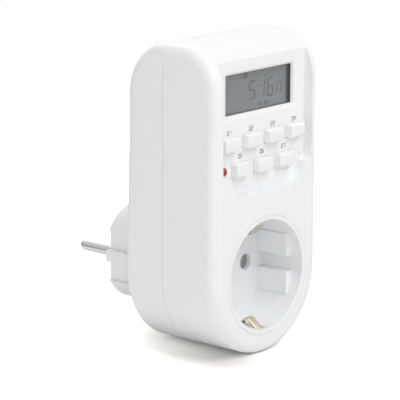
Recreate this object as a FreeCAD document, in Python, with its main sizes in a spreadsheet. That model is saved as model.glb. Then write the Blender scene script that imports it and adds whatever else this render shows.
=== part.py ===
"""Plug-in weekly timer with a round earthed socket, as an assembly of separate pieces.

Frame: millimetres, +X to the right as the front is seen, +Z up, the front faces -Y and the pins +Y.
The origin is on the plug's axis, in the plane of the housing's rear face.
"Forward" in the code is the distance from that plane towards the front, so forward = -Y.
"""
import FreeCAD, Part
import math
import os
import re

import Sketcher

SIZES = {
    # housing
    "body_width": 58.0,
    "body_depth": 42.0,
    "body_top": 85.0,
    "rear_depth": 17.4,
    "wall": 2.0,
    "front_crown": 16.0,
    "rear_crown": 20.0,
    "edge_radius": 4.0,
    "rear_edge_radius": 1.6,
    "seam_bevel": 0.35,
    "tongue_reach": 3.0,
    "tongue_thickness": 1.0,
    "tongue_fit": 0.1,
    "tongue_low_z": 40.0,
    "tongue_high_z": 66.0,
    "tongue_top_half": 12.0,
    # control panel
    "panel_recess": 3.5,
    "panel_margin": 4.4,
    "panel_bottom": 38.4,
    "panel_corner": 2.5,
    "lobe_inset": 4.0,
    "lobe_bottom": 30.2,
    "lobe_corner": 8.0,
    "lobe_sweep": 60.0,
    # display
    "display_z": 66.6,
    "display_inset": 6.1,
    "display_half_height": 7.2,
    "display_round": 1.7,
    "lens_fit": 0.1,
    "lens_flange": 2.0,
    "lens_flange_thickness": 1.0,
    "glass_margin": 1.3,
    "glass_thickness": 2.6,
    "holder_wall": 1.6,
    "holder_height": 1.8,
    "holder_lip": 0.6,
    "lip_at_sides": 1.0,
    "lip_at_ends": 0.15,
    "contact_strip_width": 1.6,
    # buttons
    "button_width": 8.0,
    "button_height": 4.7,
    "button_inset": 2.6,
    "upper_row_z": 49.8,
    "lower_row_z": 40.2,
    "button_proud": 3.0,
    "button_gap": 0.15,
    "round_gap": 0.11,
    "button_flange": 0.8,
    "button_flange_thickness": 0.9,
    "button_corner": 0.9,
    "button_edge": 0.4,
    "stem_radius": 1.6,
    "dome_radius": 3.0,
    "dome_height": 1.6,
    "mat_thickness": 1.0,
    "mat_margin": 1.4,
    "reset_inset": 3.0,
    "reset_radius": 0.9,
    "reset_sunk": 0.3,
    "reset_travel": 0.5,
    "reset_switch_tall": 2.5,
    "reset_switch_width": 4.0,
    "led_inset": 4.5,
    "led_radius": 1.5,
    "led_flange": 0.5,
    "led_proud": 0.9,
    # socket
    "recess_margin": 8.9,
    "recess_depth": 18.0,
    "cup_wall": 1.6,
    "cup_gap": 0.08,
    "cup_flange": 1.8,
    "cup_flange_thickness": 1.8,
    "cup_wing_half_height": 8.0,
    "cup_floor": 2.0,
    "rim_round": 0.3,
    "contact_offset": 9.5,
    "contact_hole_radius": 3.0,
    "rib_reach": 3.9,
    "rib_inner_z": 2.9,
    "rib_outer_z": 11.2,
    "rib_set_back": 4.5,
    # earth clips
    "clip_width": 3.4,
    "clip_thickness": 0.6,
    "clip_bend": 26.8,
    "lower_apex_reach": 3.2,
    "upper_apex_reach": 5.7,
    "clip_apex_depth": 8.3,
    "clip_tip_depth": 3.0,
    "clip_slot_gap": 0.3,
    "clip_bow": 0.8,
    "clip_end_gap": 2.4,
    # plug
    "plug_radius": 18.5,
    "plug_length": 20.4,
    "plug_wall": 2.4,
    "plug_end": 4.0,
    "plug_face_round": 0.6,
    "plug_hollow_half_height": 12.0,
    "plug_flat_x": 15.0,
    "plug_flat_half_height": 9.4,
    "plug_rib_x": 17.4,
    "plug_rib_half_height": 2.1,
    "pin_radius": 2.4,
    "pin_root_radius": 2.7,
    "pin_length": 19.0,
    "pin_tip_round": 2.0,
    "pin_fit": 0.03,
    "pin_tail_radius": 1.6,
    "pin_tail": 5.0,
    "pin_collar_radius": 2.9,
    "pin_collar": 1.5,
    "earth_groove": 1.3,
    # contacts and shutter
    "carrier_side": 0.6,
    "carrier_half_height": 8.0,
    "chamber_half_width": 3.6,
    "chamber_half_height": 3.4,
    "leaf_thickness": 0.8,
    "leaf_end_gap": 0.4,
    "leaf_gap": 4.4,
    "leaf_half_height": 2.6,
    "tab_width": 2.4,
    "tab_reach": 2.7,
    "tab_rise": 2.0,
    "shutter_thickness": 1.6,
    "shutter_half_height": 4.0,
    "shutter_lap": 0.4,
    "shutter_fit": 0.1,
    "lug_width": 1.0,
    "spring_radius": 1.6,
    "spring_wire": 0.4,
    # boards
    "board_thickness": 1.6,
    "logic_side_gap": 1.8,
    "logic_bottom": 32.0,
    "logic_top": 80.6,
    "power_half_width": 24.0,
    "power_bottom": 29.5,
    "power_top": 74.0,
    "power_standoff": 4.0,
    "post_radius": 2.3,
    "post_x": 20.5,
    "post_low_z": 33.0,
    "post_high_z": 70.0,
    "link_pitch": 2.5,
    "link_radius": 0.45,
    "link_z": 56.8,
    "wire_radius": 1.1,
    "wire_bend": 1.6,
    "wire_landing": 2.0,
    "lead_radius": 0.3,
    "box_round": 0.6,
    # parts on the logic board
    "chip_x": -10.0,
    "chip_z": 43.0,
    "chip_radius": 6.0,
    "chip_tall": 1.4,
    "crystal_x": 10.0,
    "crystal_length": 8.0,
    "crystal_radius": 1.0,
    "cell_z": 68.0,
    "cell_radius": 7.75,
    "cell_thickness": 6.0,
    "cell_round": 0.8,
    "cell_tab_width": 5.0,
    "tab_thickness": 0.3,
    # parts on the power board
    "relay_x": -13.0,
    "relay_z": 40.5,
    "relay_width": 19.0,
    "relay_height": 15.5,
    "relay_tall": 15.4,
    "film_x": 9.0,
    "film_z": 36.5,
    "film_width": 18.0,
    "film_height": 8.5,
    "film_tall": 15.0,
    "drum_x": 3.0,
    "drum_z": 48.5,
    "drum_radius": 5.0,
    "drum_tall": 11.5,
    "disc_x": 16.0,
    "disc_z": 49.0,
    "disc_radius": 4.6,
    "disc_thickness": 3.6,
    "resistor_z": 54.0,
    "resistor_length": 9.0,
    "resistor_radius": 1.8,
    "diode_x": -13.0,
    "diode_z": 58.6,
    "diode_pitch": 3.6,
    "diode_length": 4.2,
    "diode_radius": 1.2,
    # screws
    "case_screw_inset": 6.6,
    "case_screw_z": 25.8,
    "lower_screw_inset": 4.4,
    "lower_screw_angle": 50.0,
    "case_boss_radius": 2.6,
    "case_head_boss": 3.4,
    "case_screw_seat": 8.0,
    "case_screw_radius": 1.45,
    "case_screw_length": 22.0,
    "case_head_radius": 2.2,
    "case_head": 1.7,
    "head_gap": 0.15,
    "drive_slot": 0.6,
    "board_screw_inset": 2.0,
    "board_screw_low_z": 34.0,
    "board_screw_high_z": 78.2,
    "board_screw_radius": 1.1,
    "board_screw_length": 5.0,
    "board_head_radius": 2.0,
    "board_head": 1.3,
    "board_boss_radius": 1.9,
    "screw_fit": 0.05,
}
SPRING_TURNS = 8

document = FreeCAD.newDocument("plug_in_timer")
sheet = document.addObject("Spreadsheet::Sheet", "Sizes")
for row, (alias, number) in enumerate(SIZES.items(), start=1):
    sheet.set(f"A{row}", alias)
    sheet.set(f"B{row}", str(number))
    sheet.setAlias(f"B{row}", alias)
document.recompute()

# Derived planes and places, written as expressions of the sizes above.
# The ones named after a surface are forward distances from the housing's rear plane.
PANEL = "(body_depth - panel_recess)"
PANEL_BACK = f"({PANEL} - wall)"
HOLDER_FRONT = f"({PANEL_BACK} - lens_flange_thickness)"
GLASS_FRONT = f"({HOLDER_FRONT} - holder_lip)"
GLASS_BACK = f"({GLASS_FRONT} - glass_thickness)"
LOGIC_FRONT = f"({GLASS_BACK} - holder_height)"
LOGIC_BACK = f"({LOGIC_FRONT} - board_thickness)"
MAT_FRONT = f"({LOGIC_FRONT} + mat_thickness)"
DOME_FRONT = f"({MAT_FRONT} + dome_height)"
CUP_FLOOR = "(body_depth - recess_depth)"
CUP_BACK = f"({CUP_FLOOR} - cup_floor)"
CLIP_APEX_FORWARD = "(body_depth - clip_apex_depth)"
CARRIER_BACK = "(wall + 2 * clip_thickness)"
STRAP_BACK = f"({CARRIER_BACK} - clip_thickness)"
POWER_BACK = "(wall + power_standoff)"
POWER_FRONT = f"({POWER_BACK} + board_thickness)"
PLUG_FACE = "(-plug_length)"
PLUG_FLOOR = "(plug_end - plug_length)"
PIN_COLLAR_FRONT = f"({PLUG_FLOOR} + pin_collar)"
PIN_TAIL_END = f"({PIN_COLLAR_FRONT} + pin_tail)"
SHUTTER_SLOT = f"({CUP_BACK} - shutter_thickness - 2 * shutter_fit)"
SPRING_FORWARD = f"({CUP_BACK} - spring_radius - 2 * shutter_fit)"
SCREW_TIP = "(case_screw_seat + case_screw_length)"
LOGIC_SCREW_TIP = f"({LOGIC_BACK} + board_screw_length)"
POWER_SCREW_TIP = f"({POWER_FRONT} - board_screw_length)"

# The rest are distances across the timer.
HALF_WIDTH = "(body_width / 2)"
PANEL_HALF = f"({HALF_WIDTH} - panel_margin)"
LOBE_HALF = f"({PANEL_HALF} - lobe_inset)"
DISPLAY_HALF = f"({PANEL_HALF} - display_inset)"
BUTTON_PITCH = f"(({PANEL_HALF} - button_inset - button_width / 2) / 1.5)"
RESET_X = f"({PANEL_HALF} - reset_inset)"
LED_X = f"(led_inset - {PANEL_HALF})"
RECESS_RADIUS = f"({HALF_WIDTH} - recess_margin)"
RIB_FACE = f"({RECESS_RADIUS} - rib_reach)"
LOWER_APEX = f"({RECESS_RADIUS} - lower_apex_reach)"
UPPER_APEX = f"({RECESS_RADIUS} - upper_apex_reach)"
CUP_OUTSIDE = f"({RECESS_RADIUS} + cup_wall)"
CLIP_INSIDE = f"({CUP_OUTSIDE} + clip_slot_gap)"
CLIP_OUTSIDE = f"({CLIP_INSIDE} + clip_thickness)"
LOGIC_HALF = f"({HALF_WIDTH} - wall - logic_side_gap)"
BOARD_SCREW_X = f"({LOGIC_HALF} - board_screw_inset)"
CASE_SCREW_X = f"({HALF_WIDTH} - case_screw_inset)"
LOWER_SCREW_REACH = f"({HALF_WIDTH} - lower_screw_inset)"
PIN_PLACES = ("-contact_offset", "contact_offset")
TAB_X = "(contact_offset + tab_reach)"
TAB_TOP = "(carrier_half_height + tab_rise)"
SHUTTER_TRAVEL = "(2 * contact_hole_radius + shutter_lap)"
SHUTTER_END = "(contact_offset + contact_hole_radius + shutter_lap)"
CARRIER_HALF = f"({SHUTTER_END} + {SHUTTER_TRAVEL} + shutter_fit + carrier_side)"
LUG_LEFT = "(spring_radius - contact_offset)"
SPRING_END = "(contact_offset / 2)"
SPRING_Z = "(-shutter_half_height - spring_radius - 2 * shutter_fit)"
LOWER_SCREW_X = f"({LOWER_SCREW_REACH} * cos(lower_screw_angle))"
LOWER_SCREW_Z = f"(-{LOWER_SCREW_REACH} * sin(lower_screw_angle))"
HOUSING_SCREWS = [
    (f"({way} * {x})", z)
    for x, z in ((CASE_SCREW_X, "case_screw_z"), (LOWER_SCREW_X, LOWER_SCREW_Z))
    for way in (-1, 1)
]
LOGIC_SCREWS = [
    (x, z)
    for x in (f"-{BOARD_SCREW_X}", BOARD_SCREW_X)
    for z in ("board_screw_low_z", "board_screw_high_z")
]
POWER_SCREWS = [("-post_x", "post_high_z"), ("post_x", "post_low_z")]
POWER_POSTS = POWER_SCREWS + [("post_x", "post_high_z"), ("-post_x", "post_low_z")]
BEYOND = "5"


def linked(expression):
    """The expression, with each size's name turned into a reference to its cell."""
    return re.sub(
        r"[a-z]\w*",
        lambda word: f"Sizes.{word[0]}" if word[0] in SIZES else word[0],
        expression,
    )


def measure(expression):
    """The expression's value now, in millimetres."""
    return float(sheet.evalExpression(linked(expression)))


def new_body(label, groups=False):
    """An empty body. One with groups may hold several solids that don't touch."""
    body = document.addObject("PartDesign::Body", label)
    body.Label = label
    body.AllowCompound = groups
    return body


def place(body, x="0", forward="0", z="0"):
    """Put a body drawn about its own origin at its place in the timer."""
    body.setExpression(".Placement.Base.x", linked(x))
    body.setExpression(".Placement.Base.y", linked(f"-({forward})"))
    body.setExpression(".Placement.Base.z", linked(z))


def pin_point(sketch, geometry, end, x, y):
    """Hold one end or centre of a sketch's edge at x, y."""
    for kind, expression in (("DistanceX", x), ("DistanceY", y)):
        constraint = Sketcher.Constraint(kind, -1, 1, geometry, end, measure(expression))
        index = sketch.addConstraint(constraint)
        sketch.setExpression(f"Constraints[{index}]", linked(expression))


def hold_radius(sketch, geometry, radius):
    """Give a circle or arc of a sketch its radius."""
    index = sketch.addConstraint(Sketcher.Constraint("Radius", geometry, measure(radius)))
    sketch.setExpression(f"Constraints[{index}]", linked(radius))


def disc(x, y, radius):
    """A circle about x, y."""
    def draw(sketch):
        centre = FreeCAD.Vector(measure(x), measure(y), 0)
        circle = Part.Circle(centre, FreeCAD.Vector(0, 0, 1), measure(radius))
        geometry = sketch.addGeometry(circle)
        pin_point(sketch, geometry, 3, x, y)
        hold_radius(sketch, geometry, radius)
    return draw


def outline(*corners):
    """A closed outline. A corner (x, y) starts a straight edge.
    A corner (x, y, radius, centre_x, centre_y, turn) starts an arc, with turn 1 for anticlockwise."""
    def draw(sketch):
        ends = []
        for corner, after in zip(corners, corners[1:] + corners[:1]):
            start = FreeCAD.Vector(measure(corner[0]), measure(corner[1]), 0)
            finish = FreeCAD.Vector(measure(after[0]), measure(after[1]), 0)
            if len(corner) == 2:
                geometry = sketch.addGeometry(Part.LineSegment(start, finish))
                ends.append((geometry, 1, 2))
                continue
            centre = FreeCAD.Vector(measure(corner[3]), measure(corner[4]), 0)
            circle = Part.Circle(centre, FreeCAD.Vector(0, 0, 1), measure(corner[2]))
            first, last = (start, finish) if corner[5] == 1 else (finish, start)
            angles = [math.atan2(point.y - centre.y, point.x - centre.x) for point in (first, last)]
            geometry = sketch.addGeometry(Part.ArcOfCircle(circle, *angles))
            ends.append((geometry, 1, 2) if corner[5] == 1 else (geometry, 2, 1))
            hold_radius(sketch, geometry, corner[2])
        for corner, edge, before in zip(corners, ends, ends[-1:] + ends[:-1]):
            sketch.addConstraint(Sketcher.Constraint("Coincident", before[0], before[2], edge[0], edge[1]))
            pin_point(sketch, edge[0], edge[1], corner[0], corner[1])
    return draw


def block(left, right, bottom, top):
    """An upright rectangle."""
    return outline((left, bottom), (right, bottom), (right, top), (left, top))


def beside(x, y, width, height):
    """A rectangle about x, y."""
    return block(
        f"({x}) - ({width}) / 2", f"({x}) + ({width}) / 2",
        f"({y}) - ({height}) / 2", f"({y}) + ({height}) / 2",
    )


def sketch_in(body, role, offset, shapes):
    """A sketch on one of the body's own planes, moved along the plane's normal."""
    sketch = body.newObject("Sketcher::SketchObject", "Sketch")
    plane = next(part for part in body.Origin.OriginFeatures if part.Role == role)
    sketch.AttachmentSupport = [(plane, "")]
    sketch.MapMode = "FlatFace"
    sketch.setExpression(".AttachmentOffset.Base.z", linked(offset))
    for draw in shapes:
        draw(sketch)
    return sketch


def extrude(body, kind, sketch, length, both_ways=False):
    """Pad or pocket a sketch, one way or half each way."""
    feature = body.newObject(kind, kind.split("::")[1])
    feature.Profile = sketch
    feature.Midplane = both_ways
    feature.setExpression("Length", linked(length))
    return feature


def add(body, back, front, *shapes):
    """Add shapes drawn as the front is seen, from one forward distance to another."""
    sketch = sketch_in(body, "XZ_Plane", back, shapes)
    extrude(body, "PartDesign::Pad", sketch, f"({front}) - ({back})")


def cut(body, back, front, *shapes):
    """Cut shapes drawn as the front is seen, from one forward distance to another."""
    sketch = sketch_in(body, "XZ_Plane", front, shapes)
    extrude(body, "PartDesign::Pocket", sketch, f"({front}) - ({back})")


def side(forward, z):
    """A point of a sketch seen from the side, where the sketch's x runs to the rear."""
    return f"-({forward})", z


def add_across(body, x, width, *shapes):
    """Add shapes drawn from the side, half the width each way from x."""
    extrude(body, "PartDesign::Pad", sketch_in(body, "YZ_Plane", x, shapes), width, both_ways=True)


def cut_across(body, x, width, *shapes):
    """Cut shapes drawn from the side, half the width each way from x."""
    extrude(body, "PartDesign::Pocket", sketch_in(body, "YZ_Plane", x, shapes), width, both_ways=True)


def points_on(edge):
    """The edge's two ends and its middle."""
    low, high = edge.ParameterRange
    return [edge.valueAt(low), edge.valueAt((low + high) / 2), edge.valueAt(high)]


def lies_at(edge, forward):
    """Whether the whole edge lies at one forward distance."""
    return all(abs(-point.y - measure(forward)) < 0.01 for point in points_on(edge))


def runs_forward(edge):
    """Whether the edge is a straight line along Y."""
    points = points_on(edge)
    return all(math.hypot(point.x - points[0].x, point.z - points[0].z) < 0.01 for point in points)


def dress(body, kind, size, wanted):
    """Fillet or chamfer the edges that are wanted."""
    document.recompute()
    base = body.Tip
    names = [f"Edge{index}" for index, edge in enumerate(base.Shape.Edges, start=1) if wanted(edge)]
    feature = body.newObject(kind, kind.split("::")[1])
    feature.Base = (base, names)
    feature.setExpression("Radius" if kind.endswith("Fillet") else "Size", linked(size))


def round_edges(body, radius, wanted):
    dress(body, "PartDesign::Fillet", radius, wanted)


def bevel_edges(body, size, wanted):
    dress(body, "PartDesign::Chamfer", size, wanted)


def slab(body, back, front):
    """The housing's outer shape between two planes, still with sharp edges."""
    crown_front = "(body_depth - front_crown)"
    above = f"body_top + {BEYOND}"
    add(body, back, front, disc("0", "0", HALF_WIDTH))
    add(body, back, front, block(f"-{HALF_WIDTH}", HALF_WIDTH, "0", "body_top"))
    if front == "body_depth":
        cut_across(body, "0", f"body_width + {BEYOND}", outline(
            side(crown_front, "body_top")
            + ("front_crown", f"-{crown_front}", "body_top - front_crown", 1),
            side("body_depth", "body_top - front_crown"),
            side(f"body_depth + {BEYOND}", "body_top - front_crown"),
            side(f"body_depth + {BEYOND}", above),
            side(crown_front, above),
        ))
    cut_across(body, "0", f"body_width + {BEYOND}", outline(
        side("rear_crown", "body_top") + ("rear_crown", "-rear_crown", "body_top - rear_crown", -1),
        side("0", "body_top - rear_crown"),
        side(f"-{BEYOND}", "body_top - rear_crown"),
        side(f"-{BEYOND}", above),
        side("rear_crown", above),
    ))


def on_perimeter(edge, closed_end):
    """Whether the edge runs round the closed end, or along the top, where side and crown meet."""
    points = points_on(edge)
    reach = measure(HALF_WIDTH)
    level = all(abs(point.z) < 0.01 for point in points)
    on_side = all(abs(abs(point.x) - reach) < 0.01 for point in points)
    on_arc = all(abs(math.hypot(point.x, point.z) - reach) < 0.01 for point in points)
    at_bottom = lies_at(edge, closed_end) and on_arc and points[1].z < 0
    return at_bottom or (on_side and not level and not lies_at(edge, "rear_depth"))


def rounded_rear(blank):
    """The rear half's edges: tight at the bottom, and growing up the sides to the crown's radius."""
    document.recompute()
    tight, full = measure("rear_edge_radius"), measure("edge_radius")
    edges = []
    for index, edge in enumerate(blank.Shape.Edges, start=1):
        if on_perimeter(edge, "0"):
            start, middle, end = points_on(edge)
            if middle.z < 0:
                radii = (tight, tight)
            elif not lies_at(edge, "0"):
                radii = (full, full)
            else:
                radii = (tight, full) if start.z < end.z else (full, tight)
            edges.append((index, *radii))
    rounding = document.addObject("Part::Fillet", "rear_rounding")
    rounding.Base = blank
    rounding.Edges = edges
    return rounding


def button_places():
    """The seven buttons, as a name with its x and z."""
    upper = ("program", "week", "hour", "minute")
    lower = ("mode", "clock", "recall")
    for index, name in enumerate(upper):
        yield name, f"({index} - 1.5) * {BUTTON_PITCH}", "upper_row_z"
    for index, name in enumerate(lower):
        yield name, f"({index} - 1) * {BUTTON_PITCH}", "lower_row_z"


def panel_recess():
    """The control panel's outline, open at the top, and the lobe under its lower row."""
    low_side = "panel_bottom + panel_corner"
    corner_x = f"{PANEL_HALF} - panel_corner"
    above = f"body_top + {BEYOND}"
    panel = outline(
        (f"-{PANEL_HALF}", low_side, "panel_corner", f"-({corner_x})", low_side, 1),
        (f"-({corner_x})", "panel_bottom"),
        (corner_x, "panel_bottom", "panel_corner", corner_x, low_side, 1),
        (PANEL_HALF, low_side),
        (PANEL_HALF, above),
        (f"-{PANEL_HALF}", above),
    )
    lobe_centre = "(lobe_bottom + lobe_sweep)"
    lobe_x = f"({LOBE_HALF} - lobe_corner)"
    drop = f"sqrt((lobe_sweep - lobe_corner)^2 - {lobe_x}^2)"
    lobe_z = f"({lobe_centre} - {drop})"
    share = "lobe_sweep / (lobe_sweep - lobe_corner)"
    touch_x = f"({lobe_x} * {share})"
    touch_z = f"({lobe_centre} - {drop} * {share})"
    inside = "panel_bottom + panel_corner"
    lobe = outline(
        (f"-{LOBE_HALF}", lobe_z, "lobe_corner", f"-{lobe_x}", lobe_z, 1),
        (f"-{touch_x}", touch_z, "lobe_sweep", "0", lobe_centre, 1),
        (touch_x, touch_z, "lobe_corner", lobe_x, lobe_z, 1),
        (LOBE_HALF, lobe_z),
        (LOBE_HALF, inside),
        (f"-{LOBE_HALF}", inside),
    )
    return panel, lobe


def make_front_cover():
    body = new_body("front_cover")
    slab(body, "rear_depth", "body_depth")
    round_edges(body, "edge_radius", lambda edge: on_perimeter(edge, "body_depth"))
    bevel_edges(body, "seam_bevel", lambda edge: lies_at(edge, "rear_depth"))
    inside_top = "body_top - wall"
    step_z = "lobe_bottom - wall"
    inner_width = "body_width - 2 * wall"
    behind = f"rear_depth - {BEYOND}"
    crown_front = "(body_depth - front_crown)"
    inner_crown = "(front_crown - wall)"
    meeting_z = f"body_top - front_crown + sqrt({inner_crown}^2 - ({PANEL_BACK} - {crown_front})^2)"
    cut_across(body, "0", inner_width, outline(
        side(behind, "0"),
        side(behind, inside_top),
        side(crown_front, inside_top)
        + (inner_crown, f"-{crown_front}", "body_top - front_crown", 1),
        side(PANEL_BACK, meeting_z),
        side(PANEL_BACK, "0"),
    ))
    cut(body, "rear_depth", "body_depth - wall", disc("0", "0", f"{HALF_WIDTH} - wall"))
    cut(body, "rear_depth", "body_depth - wall",
        block(f"-{HALF_WIDTH} + wall", f"{HALF_WIDTH} - wall", "0", step_z))
    bosses = [disc(x, z, "case_boss_radius") for x, z in HOUSING_SCREWS]
    add(body, "rear_depth", "body_depth - wall / 2", *bosses)
    pilots = [disc(x, z, "case_screw_radius + screw_fit") for x, z in HOUSING_SCREWS]
    cut(body, "rear_depth", f"{SCREW_TIP} + wall / 2", *pilots)
    board_bosses = [disc(x, z, "board_boss_radius") for x, z in LOGIC_SCREWS]
    add(body, LOGIC_FRONT, f"{PANEL_BACK} + wall / 4", *board_bosses)
    board_pilots = [disc(x, z, "board_screw_radius + screw_fit") for x, z in LOGIC_SCREWS]
    cut(body, LOGIC_FRONT, f"{LOGIC_SCREW_TIP} + wall / 4", *board_pilots)
    for shape in panel_recess():
        cut(body, PANEL, f"body_depth + {BEYOND}", shape)
    cut(body, PANEL_BACK, PANEL,
        beside("0", "display_z", f"2 * {DISPLAY_HALF}", "2 * display_half_height"))

    def round_display(edge):
        """The display opening's edges in the panel's face."""
        centre_z = measure("display_z")
        return lies_at(edge, PANEL) and all(
            abs(point.x) < measure(DISPLAY_HALF) + 0.01
            and abs(point.z - centre_z) < measure("display_half_height") + 0.01
            for point in points_on(edge)
        )

    round_edges(body, "display_round", round_display)
    openings = [
        beside(x, z, "button_width + 2 * button_gap", "button_height + 2 * button_gap")
        for name, x, z in button_places()
    ]
    cut(body, PANEL_BACK, PANEL, *openings)
    cut(body, PANEL_BACK, PANEL, disc(LED_X, "lower_row_z", "led_radius + round_gap"))
    cut(body, PANEL_BACK, PANEL, disc(RESET_X, "lower_row_z", "reset_radius + round_gap"))
    cut(body, "body_depth - wall", "body_depth", disc("0", "0", f"{CUP_OUTSIDE} + cup_gap"))
    return body


def make_rear_cover():
    blank = new_body("rear_blank")
    slab(blank, "0", "rear_depth")
    body = new_body("rear_cover")
    body.BaseFeature = rounded_rear(blank)
    bevel_edges(body, "seam_bevel", lambda edge: lies_at(edge, "rear_depth"))
    inner_crown = "(rear_crown - wall)"
    beyond_seam = f"rear_depth + {BEYOND}"
    cut_across(body, "0", "body_width - 2 * wall", outline(
        side("wall", "0"),
        side(beyond_seam, "0"),
        side(beyond_seam, "body_top - wall"),
        side("rear_crown", "body_top - wall")
        + (inner_crown, "-rear_crown", "body_top - rear_crown", -1),
        side("wall", "body_top - rear_crown"),
    ))
    cut(body, "wall", "rear_depth", disc("0", "0", f"{HALF_WIDTH} - wall"))
    bosses = [disc(x, z, "case_head_boss") for x, z in HOUSING_SCREWS]
    add(body, "wall", "rear_depth", *bosses)
    posts = [disc(x, z, "post_radius") for x, z in POWER_POSTS]
    add(body, "wall", POWER_BACK, *posts)
    make_tongues(body)
    add(body, PLUG_FACE, "wall / 2", disc("0", "0", "plug_radius"))
    flat_end = f"plug_radius + {BEYOND}"
    for left, right in (("plug_flat_x", flat_end), (f"-({flat_end})", "-plug_flat_x")):
        cut(body, PLUG_FACE, "0",
            block(left, right, "-plug_flat_half_height", "plug_flat_half_height"))
    root = "(plug_flat_x - plug_wall / 2)"
    for left, right in ((root, "plug_rib_x"), ("-plug_rib_x", f"-{root}")):
        add(body, PLUG_FACE, "wall / 2",
            block(left, right, "-plug_rib_half_height", "plug_rib_half_height"))
    hollow = "plug_flat_x - plug_wall"
    cut(body, PLUG_FLOOR, "wall", beside("0", "0", f"2 * ({hollow})", "2 * plug_hollow_half_height"))
    pin_holes = [disc(x, "0", "pin_root_radius + pin_fit") for x in PIN_PLACES]
    cut(body, PLUG_FACE, PLUG_FLOOR, *pin_holes)
    groove_width = "clip_width + 2 * clip_slot_gap"
    groove_floor = "plug_radius - earth_groove"
    for direction in (1, -1):
        centre = f"{direction} * (({groove_floor}) + {BEYOND})"
        cut(body, PLUG_FACE, "0", beside("0", centre, groove_width, f"2 * {BEYOND}"))
        slot = f"{direction} * (({groove_floor}) + clip_thickness / 2)"
        cut(body, "0", "wall", beside("0", slot, groove_width, "clip_thickness + 2 * clip_slot_gap"))
    heads = [disc(x, z, "case_head_radius + head_gap") for x, z in HOUSING_SCREWS]
    cut(body, f"-{BEYOND}", "case_screw_seat", *heads)
    shanks = [disc(x, z, "case_screw_radius + screw_fit") for x, z in HOUSING_SCREWS]
    cut(body, "case_screw_seat", "rear_depth", *shanks)
    pilots = [disc(x, z, "board_screw_radius + screw_fit") for x, z in POWER_SCREWS]
    cut(body, f"{POWER_SCREW_TIP} - wall / 8", POWER_BACK, *pilots)
    round_edges(body, "plug_face_round", lambda edge: lies_at(edge, PLUG_FACE) and at_plug_rim(edge))
    return body


def at_plug_rim(edge):
    """An edge on the plug's round rim."""
    radius = measure("plug_radius")
    return all(abs(math.hypot(point.x, point.z) - radius) < 0.01 for point in points_on(edge))


def make_tongues(body):
    """Three tongues of the rear cover that reach into the front cover and keep the halves in line."""
    root_back = "rear_depth - tongue_reach"
    tip = "rear_depth + tongue_reach"
    inside = f"{HALF_WIDTH} - wall"
    inner = f"{inside} - tongue_fit - tongue_thickness"
    for direction in (1, -1):
        for back, front, outer in (
            (root_back, "rear_depth", f"{inside} + wall / 4"),
            ("rear_depth", tip, f"{inside} - tongue_fit"),
        ):
            ends = (inner, outer) if direction == 1 else (f"-({outer})", f"-({inner})")
            add(body, back, front, block(*ends, "tongue_low_z", "tongue_high_z"))
    top = "body_top - wall - tongue_fit"
    add(body, root_back, tip,
        block("-tongue_top_half", "tongue_top_half", f"{top} - tongue_thickness", top))


def tongue_runs(apex_z):
    """The two sloping runs of a tongue's outer face, each as the (forward, z) of its ends."""
    bend = ("clip_bend + clip_thickness / 2", CLIP_OUTSIDE)
    apex = (CLIP_APEX_FORWARD, f"({apex_z} + 1.33 * clip_thickness)")
    tip = (
        "(body_depth - clip_tip_depth - clip_thickness)", f"({RECESS_RADIUS} + 2 * clip_thickness)",
    )
    return (bend, apex), (apex, tip)


def crossing(start, end):
    """How far forward a straight run crosses the recess's wall."""
    share = f"({RECESS_RADIUS} - {start[1]}) / ({end[1]} - {start[1]})"
    return f"({start[0]} + ({end[0]} - ({start[0]})) * {share})"


def make_socket_cup():
    body = new_body("socket_cup")
    wing = f"{CUP_OUTSIDE} + cup_flange"
    add(body, CUP_BACK, "body_depth", disc("0", "0", CUP_OUTSIDE))
    add(body, "body_depth - wall - cup_flange_thickness", "body_depth - wall",
        beside("0", "0", f"2 * ({wing})", "2 * cup_wing_half_height"))
    cut(body, CUP_FLOOR, "body_depth", disc("0", "0", RECESS_RADIUS))
    rib_end = "body_depth - rib_set_back"
    middle_radius = f"({RECESS_RADIUS} + cup_wall / 2)"
    for x_side in (1, -1):
        for z_side in (1, -1):
            def corner(x, z):
                return f"{x_side} * ({x})", f"{z_side} * ({z})"
            add(body, f"{CUP_FLOOR} - cup_floor / 2", rib_end, outline(
                corner(RIB_FACE, "rib_inner_z"),
                corner(f"sqrt({middle_radius}^2 - rib_inner_z^2)", "rib_inner_z"),
                corner(f"sqrt({middle_radius}^2 - rib_outer_z^2)", "rib_outer_z"),
                corner(RIB_FACE, "rib_outer_z"),
            ))
    holes = [disc(x, "0", "contact_hole_radius") for x in PIN_PLACES]
    cut(body, CUP_BACK, CUP_FLOOR, *holes)
    slot_width = "clip_width + 2 * clip_slot_gap"
    for direction, apex_z in ((1, UPPER_APEX), (-1, LOWER_APEX)):
        slot = beside("0", f"{direction} * {CUP_OUTSIDE}", slot_width, "3 * cup_wall")
        into_cup, out_again = [crossing(*run) for run in tongue_runs(apex_z)]
        cut(body, "clip_bend - clip_slot_gap", f"{into_cup} + clip_slot_gap", slot)
        cut(body, f"{out_again} - clip_slot_gap", "body_depth - wall", slot)
    round_edges(body, "rim_round", lambda edge: lies_at(edge, "body_depth") and all(
        abs(math.hypot(point.x, point.z) - measure(RECESS_RADIUS)) < 0.01 for point in points_on(edge)
    ))
    return body


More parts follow.
